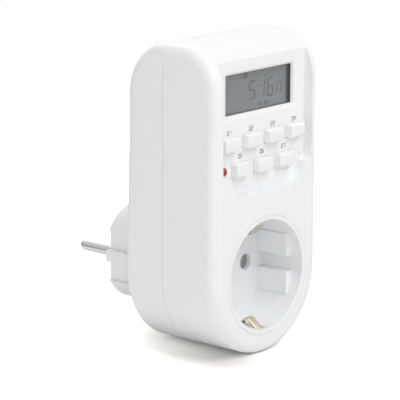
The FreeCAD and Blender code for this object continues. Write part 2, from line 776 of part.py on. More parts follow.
def make_contact_carrier():
    body = new_body("contact_carrier")
    add(body, CARRIER_BACK, CUP_BACK,
        beside("0", "0", f"2 * {CARRIER_HALF}", "2 * carrier_half_height"))
    chambers = [
        beside(x, "0", "2 * chamber_half_width", "2 * chamber_half_height") for x in PIN_PLACES
    ]
    cut(body, CARRIER_BACK, SHUTTER_SLOT, *chambers)
    notches = [
        block(f"{direction} * {TAB_X} - tab_width / 2 - clip_slot_gap",
              f"{direction} * {TAB_X} + tab_width / 2 + clip_slot_gap",
              "-chamber_half_height", f"carrier_half_height + {BEYOND}")
        for direction in (1, -1)
    ]
    cut(body, CARRIER_BACK, f"{CARRIER_BACK} + leaf_thickness", *notches)
    play = "shutter_fit"
    cut(body, SHUTTER_SLOT, CUP_BACK, block(
        f"-{SHUTTER_END} - {play}", f"{SHUTTER_END} + {SHUTTER_TRAVEL} + {play}",
        f"-shutter_half_height - {play}", f"shutter_half_height + {play}",
    ))
    cut(body, f"{SPRING_FORWARD} - spring_radius - {play}", CUP_BACK, block(
        f"{LUG_LEFT} - {play}", SPRING_END,
        f"{SPRING_Z} - spring_radius - {play}", f"{play} - shutter_half_height",
    ))
    return body


def make_shutter():
    body = new_body("shutter")
    plate_back = f"{SHUTTER_SLOT} + shutter_fit"
    plate_front = f"{plate_back} + shutter_thickness"
    add(body, plate_back, plate_front,
        block(f"-{SHUTTER_END}", SHUTTER_END, "-shutter_half_height", "shutter_half_height"))
    cut(body, plate_back, plate_front,
        disc(f"contact_offset - {SHUTTER_TRAVEL}", "0", "contact_hole_radius"))
    add(body, f"{SPRING_FORWARD} - spring_radius", plate_front, block(
        LUG_LEFT, f"{LUG_LEFT} + lug_width", f"{SPRING_Z} - spring_radius", "-shutter_half_height",
    ))
    return body


def make_contact(label, direction):
    """A contact for one pin: two leaves, the plate that joins them and a soldering tab."""
    body = new_body(label)
    x = f"({direction} * contact_offset)"
    plate_front = f"{CARRIER_BACK} + leaf_thickness"
    leaf_reach = "leaf_gap / 2 + leaf_thickness"
    add(body, CARRIER_BACK, plate_front, beside(x, "0", f"2 * ({leaf_reach})", "2 * leaf_half_height"))
    for leaf_side in (1, -1):
        centre = f"{x} + {leaf_side} * (leaf_gap + leaf_thickness) / 2"
        add(body, plate_front, f"{SHUTTER_SLOT} - leaf_end_gap",
            beside(centre, "0", "leaf_thickness", "2 * leaf_half_height"))
    tab_middle = f"{direction} * {TAB_X}"
    add(body, CARRIER_BACK, plate_front, block(
        f"{tab_middle} - tab_width / 2", f"{tab_middle} + tab_width / 2",
        "-leaf_half_height", TAB_TOP,
    ))
    return body


def make_socket_earth_clip():
    """One strip behind the socket, with a roof-shaped tongue into the recess at the top and bottom."""
    body = new_body("socket_earth_clip")

    def half_strip(apex_z):
        """One end's outline: along the inner face to the tip, and back along the outer face."""
        (outer_bend, outer_apex), (_, outer_tip) = tongue_runs(apex_z)
        return [
            (CARRIER_BACK, CLIP_INSIDE), ("clip_bend", CLIP_INSIDE), (CLIP_APEX_FORWARD, apex_z),
            ("body_depth - clip_tip_depth", f"{RECESS_RADIUS} + clip_thickness"),
            outer_tip, outer_apex, outer_bend, (STRAP_BACK, CLIP_OUTSIDE),
        ]

    upper = half_strip(UPPER_APEX)
    lower = [(forward, f"-({z})") for forward, z in reversed(half_strip(LOWER_APEX))]
    add_across(body, "0", "clip_width", outline(*[side(*point) for point in upper + lower]))
    apexes = measure(UPPER_APEX), -measure(LOWER_APEX)
    round_edges(body, "clip_thickness", lambda edge: any(
        all(abs(point.z - apex) < 0.01 for point in points_on(edge)) for apex in apexes
    ) and abs(points_on(edge)[0].x - points_on(edge)[2].x) > measure("clip_width") / 2)
    return body


def make_plug_earth_clip():
    """One strip in the plug, bowed outwards in the groove at its top and bottom."""
    body = new_body("plug_earth_clip")
    low = "plug_radius - earth_groove"
    high = f"{low} + clip_thickness"
    tip = f"{PLUG_FACE} + clip_end_gap"
    middle = f"({PLUG_FACE} / 2)"
    spread = "plug_length / 4"
    back = f"{STRAP_BACK} - clip_thickness"
    upper = [
        (STRAP_BACK, high), (f"{middle} + {spread}", high), (middle, f"{high} + clip_bow"),
        (f"{middle} - {spread}", high), (tip, high), (tip, low), (f"{middle} - {spread}", low),
        (middle, f"{low} + clip_bow"), (f"{middle} + {spread}", low), (back, low),
    ]
    lower = [(forward, f"-({z})") for forward, z in reversed(upper)]
    add_across(body, "0", "clip_width", outline(*[side(*point) for point in upper + lower]))
    return body


def make_plug_pins():
    body = new_body("plug_pins", groups=True)
    tip = f"({PLUG_FACE} - pin_length)"
    for back, front, radius in (
        (tip, PLUG_FACE, "pin_radius"),
        (PLUG_FACE, PLUG_FLOOR, "pin_root_radius"),
        (PLUG_FLOOR, PIN_COLLAR_FRONT, "pin_collar_radius"),
        (PIN_COLLAR_FRONT, PIN_TAIL_END, "pin_tail_radius"),
    ):
        add(body, back, front, *[disc(x, "0", radius) for x in PIN_PLACES])
    round_edges(body, "pin_tip_round", lambda edge: lies_at(edge, tip))
    return body


def make_display():
    """The clear window, the glass behind it, its holder and the two rubber contact strips."""
    window = new_body("display_window")
    flange_width = f"2 * ({DISPLAY_HALF} + lens_flange)"
    flange_height = "2 * (display_half_height + lens_flange)"
    add(window, HOLDER_FRONT, PANEL_BACK, beside("0", "display_z", flange_width, flange_height))
    add(window, PANEL_BACK, f"{PANEL} - display_round", beside(
        "0", "display_z", f"2 * ({DISPLAY_HALF} - lens_fit)", "2 * (display_half_height - lens_fit)",
    ))
    glass = new_body("lcd_panel")
    glass_width = f"2 * ({DISPLAY_HALF} + glass_margin)"
    glass_height = "2 * (display_half_height + glass_margin)"
    add(glass, GLASS_BACK, GLASS_FRONT, beside("0", "display_z", glass_width, glass_height))
    holder = new_body("lcd_holder")
    around = "2 * (lens_fit + holder_wall)"
    add(holder, LOGIC_FRONT, HOLDER_FRONT,
        beside("0", "display_z", f"{glass_width} + {around}", f"{glass_height} + {around}"))
    cut(holder, LOGIC_FRONT, GLASS_FRONT,
        beside("0", "display_z", f"{glass_width} + 2 * lens_fit", f"{glass_height} + 2 * lens_fit"))
    cut(holder, GLASS_FRONT, HOLDER_FRONT, beside(
        "0", "display_z",
        f"2 * ({DISPLAY_HALF} - lip_at_sides)", "2 * (display_half_height - lip_at_ends)",
    ))
    strips = new_body("display_contact_strips", groups=True)
    rise = "(display_half_height + glass_margin - contact_strip_width / 2)"
    add(strips, LOGIC_FRONT, GLASS_BACK, *[
        beside("0", f"display_z + {direction} * {rise}",
               f"2 * ({DISPLAY_HALF} - lens_flange)", "contact_strip_width")
        for direction in (1, -1)
    ])
    return [window, glass, holder, strips]


def make_button(name, x, z):
    """A cap, the flange that keeps it behind the panel and the stem that stands on its dome."""
    body = new_body(f"button_{name}")
    face = f"({PANEL} + button_proud)"
    flange_back = f"({PANEL_BACK} - button_flange_thickness)"
    add(body, PANEL_BACK, face, beside("0", "0", "button_width", "button_height"))
    round_edges(body, "button_corner", runs_forward)
    round_edges(body, "button_edge", lambda edge: lies_at(edge, face))
    add(body, flange_back, PANEL_BACK, beside(
        "0", "0", "button_width + 2 * button_flange", "button_height + 2 * button_flange",
    ))
    add(body, DOME_FRONT, flange_back, disc("0", "0", "stem_radius"))
    place(body, x=x, z=z)
    return body


def make_keypad_mat():
    """The rubber mat on the board, with a dome under each button."""
    body = new_body("keypad_mat")
    reach = "(dome_radius + mat_margin)"
    upper_half = f"(1.5 * {BUTTON_PITCH} + {reach})"
    lower_half = f"({BUTTON_PITCH} + {reach})"
    add(body, LOGIC_FRONT, MAT_FRONT, block(
        f"-{upper_half}", upper_half, f"upper_row_z - {reach}", f"upper_row_z + {reach}",
    ))
    add(body, LOGIC_FRONT, MAT_FRONT, block(
        f"-{lower_half}", lower_half, f"lower_row_z - {reach}", f"upper_row_z - {reach}",
    ))
    domes = [disc(x, z, "dome_radius") for name, x, z in button_places()]
    add(body, MAT_FRONT, DOME_FRONT, *domes)
    return body


def make_reset():
    """The sunk reset plunger and the switch behind it."""
    plunger = new_body("reset_button")
    plunger_back = f"({LOGIC_FRONT} + reset_switch_tall + reset_travel)"
    add(plunger, plunger_back, f"{PANEL} - reset_sunk", disc("0", "0", "reset_radius"))
    add(plunger, f"{PANEL_BACK} - button_flange_thickness", PANEL_BACK,
        disc("0", "0", "reset_radius + button_flange"))
    place(plunger, x=RESET_X, z="lower_row_z")
    switch = new_body("reset_switch")
    add(switch, LOGIC_FRONT, f"{LOGIC_FRONT} + reset_switch_tall / 2",
        beside("0", "0", "reset_switch_width", "reset_switch_width"))
    add(switch, f"{LOGIC_FRONT} + reset_switch_tall / 2", f"{LOGIC_FRONT} + reset_switch_tall",
        disc("0", "0", "reset_radius"))
    place(switch, x=RESET_X, z="lower_row_z")
    return [plunger, switch]


def make_status_led():
    body = new_body("status_led")
    tip = f"({PANEL} + led_proud)"
    add(body, LOGIC_FRONT, f"{LOGIC_FRONT} + led_radius", disc("0", "0", "led_radius + led_flange"))
    add(body, f"{LOGIC_FRONT} + led_radius", tip, disc("0", "0", "led_radius"))
    round_edges(body, "0.8 * led_radius", lambda edge: lies_at(edge, tip))
    place(body, x=LED_X, z="lower_row_z")
    return body


def make_logic_board():
    body = new_body("logic_board")
    add(body, LOGIC_BACK, LOGIC_FRONT,
        block(f"-{LOGIC_HALF}", LOGIC_HALF, "logic_bottom", "logic_top"))
    cut(body, LOGIC_BACK, LOGIC_FRONT, *[
        disc(x, z, "board_screw_radius + screw_fit") for x, z in LOGIC_SCREWS
    ])
    return body


def make_logic_parts():
    """What stands on the back of the logic board: chip, crystal, standby cell and its tabs."""
    chip = new_body("controller_chip")
    chip_back = f"({LOGIC_BACK} - chip_tall)"
    add(chip, chip_back, LOGIC_BACK, disc("0", "0", "chip_radius"))
    round_edges(chip, "0.7 * chip_tall", lambda edge: lies_at(edge, chip_back))
    place(chip, x="chip_x", z="chip_z")
    crystal = make_lying("quartz_crystal", "crystal_x", ["chip_z"], "crystal_length", "crystal_radius",
                         LOGIC_BACK, -1)
    cell = new_body("standby_cell")
    cell_front = f"({LOGIC_BACK} - tab_thickness)"
    cell_back = f"({cell_front} - cell_thickness)"
    add(cell, cell_back, cell_front, disc("0", "0", "cell_radius"))
    round_edges(cell, "cell_round", lambda edge: lies_at(edge, cell_front) or lies_at(edge, cell_back))
    place(cell, z="cell_z")
    tabs = new_body("cell_tabs", groups=True)
    foot = "(cell_z - cell_radius - 2 * tab_thickness)"
    add(tabs, cell_front, LOGIC_BACK, beside("0", "cell_z", "cell_tab_width", "1.5 * cell_radius"))
    add(tabs, f"{cell_back} - tab_thickness", cell_back, block(
        "-cell_tab_width / 2", "cell_tab_width / 2", f"{foot} - tab_thickness", "cell_z",
    ))
    add(tabs, cell_back, LOGIC_BACK, block(
        "-cell_tab_width / 2", "cell_tab_width / 2", f"{foot} - tab_thickness", foot,
    ))
    return [chip, crystal, cell, tabs]


def make_power_board():
    body = new_body("power_board")
    add(body, POWER_BACK, POWER_FRONT,
        block("-power_half_width", "power_half_width", "power_bottom", "power_top"))
    cut(body, POWER_BACK, POWER_FRONT, *[
        disc(x, z, "board_screw_radius + screw_fit") for x, z in POWER_SCREWS
    ])
    return body


def make_boxed(label, x, z, width, height, tall, edge):
    """A moulded component that stands on the power board."""
    body = new_body(label)
    top = f"({POWER_FRONT} + {tall})"
    add(body, POWER_FRONT, top, beside("0", "0", width, height))
    round_edges(body, edge, lambda line: not lies_at(line, POWER_FRONT))
    place(body, x=x, z=z)
    return body


def add_leads(body, x_places, z_places, surface, axis):
    """Wire leads from a board's surface to a component's axis."""
    leads = [disc(x, z, "lead_radius") for x in x_places for z in z_places]
    ends = (surface, axis) if measure(surface) < measure(axis) else (axis, surface)
    add(body, *ends, *leads)


def make_lying(label, x, z_places, length, radius, surface, way):
    """Wire-ended components that lie along X, in front of a board (way 1) or behind it (way -1)."""
    body = new_body(label, groups=True)
    axis = f"({surface} + {way} * ({radius} + lead_radius))"
    span = f"({length} + 4 * lead_radius)"
    for z in z_places:
        add_across(body, x, length, disc(f"-{axis}", z, radius))
        add_across(body, x, f"{span} + 3 * lead_radius", disc(f"-{axis}", z, "1.2 * lead_radius"))
    add_leads(body, [f"{x} - {span} / 2", f"{x} + {span} / 2"], z_places, surface, axis)
    return body


def make_power_parts():
    """What stands on the power board."""
    relay = make_boxed("relay", "relay_x", "relay_z", "relay_width", "relay_height", "relay_tall",
                       "box_round")
    film = make_boxed("dropper_capacitor", "film_x", "film_z", "film_width", "film_height", "film_tall",
                      "box_round")
    drum = new_body("smoothing_capacitor")
    top = f"({POWER_FRONT} + drum_tall)"
    add(drum, POWER_FRONT, top, disc("0", "0", "drum_radius"))
    round_edges(drum, "box_round", lambda edge: lies_at(edge, top))
    place(drum, x="drum_x", z="drum_z")
    varistor = new_body("varistor")
    axis = f"({POWER_FRONT} + 2 * lead_radius + disc_radius)"
    add_across(varistor, "disc_x", "disc_thickness", disc(f"-{axis}", "disc_z", "disc_radius"))
    add_leads(varistor, ["disc_x"], [f"disc_z {sign} disc_radius / 2" for sign in "+-"],
              POWER_FRONT, axis)
    resistor = make_lying("fuse_resistor", "diode_x", ["resistor_z"], "resistor_length",
                          "resistor_radius", POWER_FRONT, 1)
    rows = [f"(diode_z + {index} * diode_pitch)" for index in range(4)]
    diodes = make_lying("rectifier_diodes", "diode_x", rows, "diode_length", "diode_radius",
                        POWER_FRONT, 1)
    return [relay, film, drum, varistor, resistor, diodes]


def make_board_link():
    """Six straight wires that join the two boards."""
    body = new_body("board_link_wires", groups=True)
    add(body, POWER_FRONT, LOGIC_BACK, *[
        disc(f"({index} - 2.5) * link_pitch", "link_z", "link_radius") for index in range(6)
    ])
    return body


def make_wire(label, bend, *route):
    """A stiff wire whose route is a list of (x, forward, z), with every turn an arc."""
    points = [FreeCAD.Vector(measure(x), -measure(forward), measure(z)) for x, forward, z in route]
    edges = []
    start = points[0]
    for before, corner, after in zip(points, points[1:], points[2:]):
        inward = (corner - before).normalize()
        outward = (after - corner).normalize()
        reach = measure(bend) * math.tan(inward.getAngle(outward) / 2)
        first = corner - inward * reach
        last = corner + outward * reach
        middle_way = (outward - inward).normalize()
        half_turn = inward.getAngle(outward) / 2
        middle = corner + middle_way * measure(bend) * (1 / math.cos(half_turn) - 1)
        edges.append(Part.LineSegment(start, first).toShape())
        edges.append(Part.Arc(first, middle, last).toShape())
        start = last
    edges.append(Part.LineSegment(start, points[-1]).toShape())
    path = Part.Wire(edges)
    heading = edges[0].tangentAt(edges[0].FirstParameter)
    ring = Part.Wire([Part.Circle(points[0], heading, measure("wire_radius")).toShape()])
    feature = document.addObject("Part::Feature", label)
    feature.Label = label
    feature.Shape = path.makePipeShell([ring], True, False)
    feature.Placement = FreeCAD.Placement()
    return feature


def make_wires():
    """The mains wires inside the housing."""
    tab_centre = f"({CARRIER_BACK} + leaf_thickness / 2)"
    end_z = "(power_bottom + wire_landing)"
    feed = make_wire(
        "line_feed_wire", "wire_bend",
        ("contact_offset", PIN_TAIL_END, "0"),
        ("contact_offset", f"{PIN_TAIL_END} + wire_bend", "0"),
        ("contact_offset", tab_centre, "carrier_half_height + 3 * wire_radius"),
        ("contact_offset", tab_centre, end_z),
        ("contact_offset", POWER_BACK, end_z),
    )
    tab_wires = [
        make_wire(
            label, "wire_bend",
            (f"{direction} * {TAB_X}", tab_centre, TAB_TOP),
            (f"{direction} * {TAB_X}", tab_centre, end_z),
            (f"{direction} * {TAB_X}", POWER_BACK, end_z),
        )
        for label, direction in (("switched_line_wire", 1), ("neutral_feed_wire", -1))
    ]
    link = new_body("neutral_link_wire")
    add(link, PIN_TAIL_END, CARRIER_BACK, disc("-contact_offset", "0", "wire_radius"))
    return [feed, *tab_wires, link]


def make_shutter_spring():
    """The coil between the shutter's lug and the end of its chamber."""
    start = measure(f"{LUG_LEFT} + lug_width")
    length = measure(SPRING_END) - start
    mean_radius = measure("spring_radius - spring_wire / 2")
    wire_radius = measure("spring_wire / 2")
    inset = 1.2 * wire_radius
    helix = Part.makeHelix((length - 2 * inset) / SPRING_TURNS, length - 2 * inset, mean_radius)
    ring = Part.Wire([Part.Circle(
        FreeCAD.Vector(mean_radius, 0, 0), FreeCAD.Vector(0, 1, 0), wire_radius,
    ).toShape()])
    feature = document.addObject("Part::Feature", "shutter_spring")
    feature.Label = "shutter_spring"
    feature.Shape = Part.Wire(helix.Edges).makePipeShell([ring], True, True)
    feature.Placement = FreeCAD.Placement(
        FreeCAD.Vector(start + inset, -measure(SPRING_FORWARD), measure(SPRING_Z)),
        FreeCAD.Rotation(FreeCAD.Vector(0, 1, 0), 90),
    )
    return feature


def make_case_screws():
    body = new_body("case_screws", groups=True)
    head_back = "(case_screw_seat - case_head)"
    add(body, head_back, "case_screw_seat", *[disc(x, z, "case_head_radius") for x, z in HOUSING_SCREWS])
    add(body, "case_screw_seat", SCREW_TIP, *[disc(x, z, "case_screw_radius") for x, z in HOUSING_SCREWS])
    slot_length = "1.2 * case_head_radius"
    for width, height in ((slot_length, "drive_slot"), ("drive_slot", slot_length)):
        cut(body, head_back, f"{head_back} + case_head / 2",
            *[beside(x, z, width, height) for x, z in HOUSING_SCREWS])
    return body


def make_board_screws():
    """Four screws through the logic board from behind and two through the power board from in front."""
    body = new_body("board_screws", groups=True)
    logic_head = f"{LOGIC_BACK} - board_head"
    power_head = f"{POWER_FRONT} + board_head"
    for back, front, radius, places in (
        (logic_head, LOGIC_BACK, "board_head_radius", LOGIC_SCREWS),
        (LOGIC_BACK, LOGIC_SCREW_TIP, "board_screw_radius", LOGIC_SCREWS),
        (POWER_FRONT, power_head, "board_head_radius", POWER_SCREWS),
        (POWER_SCREW_TIP, POWER_FRONT, "board_screw_radius", POWER_SCREWS),
    ):
        add(body, back, front, *[disc(x, z, radius) for x, z in places])
    return body


def build():
    """Every sub-part of the timer."""
    return [
        make_front_cover(), make_rear_cover(), make_socket_cup(), make_contact_carrier(),
        make_shutter(), make_shutter_spring(),
        make_contact("line_contact", 1), make_contact("neutral_contact", -1),
        make_socket_earth_clip(), make_plug_earth_clip(), make_plug_pins(),
        *make_display(), make_keypad_mat(),
        *[make_button(*where) for where in button_places()],
        *make_reset(), make_status_led(),
        make_logic_board(), *make_logic_parts(),
        make_power_board(), *make_power_parts(), make_board_link(), *make_wires(),
        make_case_screws(), make_board_screws(),
    ]


def check(pieces):
    """Stop unless every object was built and every sub-part is a valid solid."""
    document.recompute()
    for item in document.Objects:
        if {"Invalid", "Error"} & set(item.State):
            raise RuntimeError(f"{item.Name} of {item.Label} failed: {item.State}")
    for piece in pieces:
        if piece.Shape.isNull() or not piece.Shape.isValid() or not piece.Shape.Solids:
            raise RuntimeError(f"{piece.Label} has no valid solid")


def write(pieces):
    """One STEP file for each sub-part."""
    os.makedirs("parts", exist_ok=True)
    for piece in pieces:
        piece.Shape.exportStep(f"parts/{piece.Label}.step")
        box = piece.Shape.BoundBox
        print(f"{piece.Label}: {len(piece.Shape.Solids)} solid, {piece.Shape.Volume:.1f} mm3, "
              f"x {box.XMin:.2f} {box.XMax:.2f}, y {box.YMin:.2f} {box.YMax:.2f}, "
              f"z {box.ZMin:.2f} {box.ZMax:.2f}")


sub_parts = build()
check(sub_parts)
write(sub_parts)
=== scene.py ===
# %% [markdown]
# # A plug-in timer, dressed for its portrait
# The real object is a white two-part housing that plugs into the wall. Its front carries a small
# display, seven buttons and a socket. The solid parts come ready made from the construction model.
# This notebook loads them, replaces the few whose surface the eye lingers on, and gives every part
# a finish. Everything is in metres, in the frame of the construction model: x across, y to the
# rear and z up, with the socket's axis at x = z = 0.

# %% The frame
import math

import bpy
import numpy as np
from mathutils import Matrix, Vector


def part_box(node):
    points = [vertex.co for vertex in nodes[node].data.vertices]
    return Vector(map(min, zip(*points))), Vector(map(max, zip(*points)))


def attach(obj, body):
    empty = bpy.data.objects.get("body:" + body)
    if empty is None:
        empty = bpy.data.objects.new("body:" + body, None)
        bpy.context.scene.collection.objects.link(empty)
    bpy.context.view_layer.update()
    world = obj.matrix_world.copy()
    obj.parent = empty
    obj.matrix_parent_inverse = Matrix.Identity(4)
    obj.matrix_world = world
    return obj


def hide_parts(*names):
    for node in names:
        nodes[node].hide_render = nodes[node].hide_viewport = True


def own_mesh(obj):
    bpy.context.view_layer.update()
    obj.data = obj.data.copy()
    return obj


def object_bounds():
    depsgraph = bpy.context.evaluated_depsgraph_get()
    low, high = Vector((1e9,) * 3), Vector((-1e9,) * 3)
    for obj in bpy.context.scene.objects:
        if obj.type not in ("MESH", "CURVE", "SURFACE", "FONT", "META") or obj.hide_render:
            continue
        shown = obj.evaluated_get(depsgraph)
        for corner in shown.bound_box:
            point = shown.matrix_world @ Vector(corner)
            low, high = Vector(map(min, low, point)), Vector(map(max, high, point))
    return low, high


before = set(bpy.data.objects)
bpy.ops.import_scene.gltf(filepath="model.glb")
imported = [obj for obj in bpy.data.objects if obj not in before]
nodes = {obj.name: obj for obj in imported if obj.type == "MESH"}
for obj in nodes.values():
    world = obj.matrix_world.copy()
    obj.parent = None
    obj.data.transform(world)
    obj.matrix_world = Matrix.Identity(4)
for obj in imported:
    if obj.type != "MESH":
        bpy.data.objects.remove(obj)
cad_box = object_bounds()
MM = 0.001
HOUSING = "housing"
print(f"{len(nodes)} solid parts, box {cad_box}")

# %% [markdown]
# ## How a new piece becomes a mesh
# A moulded cap, a lens or a bent strip can each be seen as a closed loop that is carried along a
# line and changes size on the way. Stacking such loops gives a grid of points, one row for each
# stop. The grid could be drawn by hand, but worked out as whole arrays it keeps its true sizes.
# The two ends are closed by a point each, so that the piece is a watertight skin.

# %% A mesh object
CREASE = math.radians(38)


def mesh_object(name, points, faces):
    """A shown object with those points and faces, smooth up to the crease angle."""
    mesh = bpy.data.meshes.new(name)
    mesh.from_pydata(points.tolist(), [], faces)
    mesh.shade_smooth()
    mesh.set_sharp_from_angle(angle=CREASE)
    piece = bpy.data.objects.new(name, mesh)
    bpy.context.scene.collection.objects.link(piece)
    return piece


print(f"edges that turn by more than {math.degrees(CREASE):.0f} degrees stay sharp")

# %% A skin from stacked loops


def skin_faces(rows, columns):
    """Quads between neighbouring loops, and a fan of triangles from each end point to its loop."""
    row, column = np.meshgrid(np.arange(rows - 1), np.arange(columns), indexing="ij")
    beside = (column + 1) % columns
    quads = np.stack([
        row * columns + column, row * columns + beside,
        (row + 1) * columns + beside, (row + 1) * columns + column,
    ], axis=-1).reshape(-1, 4)
    around = np.arange(columns)
    onward = (around + 1) % columns
    first, last = rows * columns, rows * columns + 1
    top = (rows - 1) * columns
    start_fan = np.stack([np.full(columns, first), onward, around], axis=-1)
    end_fan = np.stack([np.full(columns, last), top + around, top + onward], axis=-1)
    return quads.tolist() + start_fan.tolist() + end_fan.tolist()


def skin(name, loops):
    """A mesh object from loops of points, an array of stops by points by three, in metres."""
    rows, columns = loops.shape[:2]
    ends = np.stack([loops[0].mean(axis=0), loops[-1].mean(axis=0)])
    points = np.vstack([loops.reshape(-1, 3), ends])
    return mesh_object(name, points, skin_faces(rows, columns))


print(f"two loops of four points make {len(skin_faces(2, 4))} faces with their ends")

# %% Seating a piece


def seat(piece, body, slot, *replaced):
    """The piece moves with its body and stands for those nodes; its slot is not used."""
    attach(piece, body)
    if replaced:
        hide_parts(*replaced)
    print(f"{piece.name}: {len(piece.data.vertices)} points, rides on {body}")


# %% [markdown]
# ## The button caps
# Each cap is a small white moulding with soft corners, a hair of draft so that it leaves its mould,
# and a face that is barely crowned. Behind the panel it widens to a flange and ends in a round
# stem. A box with rounded edges would come close, but a superellipse does it in one sweep: a low
# power gives the round stem and a high one the squarish cap, and the loops between them blend.
# Soft corners make a cap look smaller than it is, so it is a tenth of a millimetre fuller.

# %% Loops around an axis
AROUND = 72
TURN = (np.arange(AROUND) + 0.5) * 2 * math.pi / AROUND
ROUND = 2


def superellipse(half_width, half_height, power):
    """Points where |x / a| to the power n plus |z / b| to the power n is one."""
    across = np.sign(np.cos(TURN)) * np.abs(np.cos(TURN)) ** (2 / power)
    upward = np.sign(np.sin(TURN)) * np.abs(np.sin(TURN)) ** (2 / power)
    return half_width * across, half_height * upward


def stacked(stops, x, z):
    """Loops for stops of (forward, half width, half height, power), around the axis at x and z."""
    loops = np.empty((len(stops), AROUND, 3))
    for index, (forward, half_width, half_height, power) in enumerate(stops):
        across, upward = superellipse(half_width, half_height, power)
        loops[index, :, 0] = x + across
        loops[index, :, 1] = -forward
        loops[index, :, 2] = z + upward
    return loops * MM


print(f"{AROUND} points in every loop")

# %% One cap
PANEL_BACK = 36.5
FLANGE = 0.8
FLANGE_THICKNESS = 0.9
FLANGE_CHAMFER = 0.1
STEM = 1.6
STEM_CHAMFER = 0.12
DRAFT = 0.05
EDGE = 0.8
EDGE_STOPS = 7
CROWN = 0.12
CROWN_SHARES = (0.75, 0.5, 0.25)
FULLER = 0.12
FLANGE_POWER = 9
SIDE_POWER, FACE_POWER, CROWN_POWER = 12, 7, 6


def stem_and_flange(back, half_width, half_height):
    """A round stem that widens to the chamfered flange and steps in to the cap behind the panel."""
    flange_back = PANEL_BACK - FLANGE_THICKNESS
    tip = STEM - STEM_CHAMFER
    wide, tall = half_width + FLANGE - FULLER, half_height + FLANGE - FULLER
    narrow, short = wide - FLANGE_CHAMFER, tall - FLANGE_CHAMFER
    return [
        (back, tip, tip, ROUND), (back + STEM_CHAMFER, STEM, STEM, ROUND),
        (flange_back, STEM, STEM, ROUND), (flange_back, narrow, short, FLANGE_POWER),
        (flange_back + FLANGE_CHAMFER, wide, tall, FLANGE_POWER),
        (PANEL_BACK - FLANGE_CHAMFER, wide, tall, FLANGE_POWER),
        (PANEL_BACK, narrow, short, FLANGE_POWER),
        (PANEL_BACK, half_width, half_height, SIDE_POWER),
    ]


def edge_and_crown(face, half_width, half_height):
    """A quarter round from the drafted side to the face, and a parabola over the face."""
    stops = []
    for bend in np.linspace(0, math.pi / 2, EDGE_STOPS):
        inset = DRAFT + EDGE * (1 - math.cos(bend))
        stops.append((
            face - CROWN - EDGE + EDGE * math.sin(bend), half_width - inset, half_height - inset,
            SIDE_POWER - (SIDE_POWER - FACE_POWER) * math.sin(bend),
        ))
    inset = DRAFT + EDGE
    for share in CROWN_SHARES:
        stops.append((
            face - CROWN + CROWN * (1 - share ** 2),
            (half_width - inset) * share, (half_height - inset) * share, CROWN_POWER,
        ))
    return stops


print(f"a face is crowned by {CROWN} mm and its edges are rounded by {EDGE} mm")

# %% The seven caps
BUTTONS = [name for name in nodes if name.startswith("button_")]
caps = []
for node in BUTTONS:
    low, high = np.array(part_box(node)) / MM
    middle = (low + high) / 2
    half = (high - low) / 2 - FLANGE + FULLER
    stops = stem_and_flange(-high[1], half[0], half[2]) + edge_and_crown(-low[1], half[0], half[2])
    cap = skin(f"{node}_cap", stacked(stops, middle[0], middle[2]))
    seat(cap, node, "button_plastic", node)
    caps.append(cap)

# %% [markdown]
# ## The status light
# The light is a small lens of red resin: a barrel that stands on the board and a dome that looks
# out through the panel. Turning one profile about its axis makes it, which is the same stack of
# loops with a power of two. The dome's stops follow a quarter of an ellipse.

# %% The lens
LED_RADIUS = 1.5
COLLAR = 0.5
COLLAR_HEIGHT = 1.5
COLLAR_CHAMFER = 0.08
COLLAR_STEP = 0.05
DOME = 1.25
DOME_STOPS = 9
DOME_SWEEP = math.radians(86)

low, high = np.array(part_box("status_led")) / MM
led_x, led_z = (low + high)[[0, 2]] / 2
led_back, barrel_end = -high[1], -low[1] - DOME
collar = LED_RADIUS + COLLAR
led_stops = [
    (led_back, collar - COLLAR_CHAMFER, collar - COLLAR_CHAMFER, ROUND),
    (led_back + COLLAR_CHAMFER, collar, collar, ROUND),
    (led_back + COLLAR_HEIGHT - COLLAR_STEP, collar, collar, ROUND),
    (led_back + COLLAR_HEIGHT, LED_RADIUS, LED_RADIUS, ROUND),
]
for bend in np.linspace(0, DOME_SWEEP, DOME_STOPS):
    radius = LED_RADIUS * math.cos(bend)
    led_stops.append((barrel_end + DOME * math.sin(bend), radius, radius, ROUND))
led_lens = skin("status_lens", stacked(led_stops, led_x, led_z))
seat(led_lens, HOUSING, "led_lens", "status_led")

# %% [markdown]
# ## The earth clips
# Each clip is one strip of tinned brass, stamped, bent over rollers and pushed into place. The one
# in the socket shows two roof-shaped tongues, and the one in the plug lies in a groove at its top
# and bottom. Bending a flat plate with modifiers is one way. Here the strip's rounded section is
# carried along the bent centreline instead, so that width and thickness stay true in every bend.

# %% A bent strip
CORNER_STEPS = 4
BEND_STEPS = 9


def strip_section(width, thickness, corner):
    """A rectangle with quarter-round corners, as distances across the strip and through it."""
    quarter = np.linspace(0, math.pi / 2, CORNER_STEPS)
    turns = np.concatenate([quarter + side * math.pi / 2 for side in range(4)])
    signs = np.repeat([[1, 1], [-1, 1], [-1, -1], [1, -1]], CORNER_STEPS, axis=0)
    across = signs[:, 0] * (width / 2 - corner) + corner * np.cos(turns)
    through = signs[:, 1] * (thickness / 2 - corner) + corner * np.sin(turns)
    return across, through


def bent_line(corners, radii):
    """Straight runs joined by arcs: each corner is cut where an arc of its radius is tangent."""
    line = [corners[:1]]
    for before, corner, after, radius in zip(corners, corners[1:], corners[2:], radii):
        inward = (corner - before) / np.linalg.norm(corner - before)
        outward = (after - corner) / np.linalg.norm(after - corner)
        half_turn = math.acos(np.clip(inward @ outward, -1, 1)) / 2
        middle = (outward - inward) / np.linalg.norm(outward - inward)
        centre = corner + middle * radius / math.cos(half_turn)
        sweep = np.linspace(-half_turn, half_turn, BEND_STEPS)[:, None]
        along = (inward + outward) / np.linalg.norm(inward + outward)
        line.append(centre + radius * (np.sin(sweep) * along - np.cos(sweep) * middle))
    line.append(corners[-1:])
    return np.vstack(line)


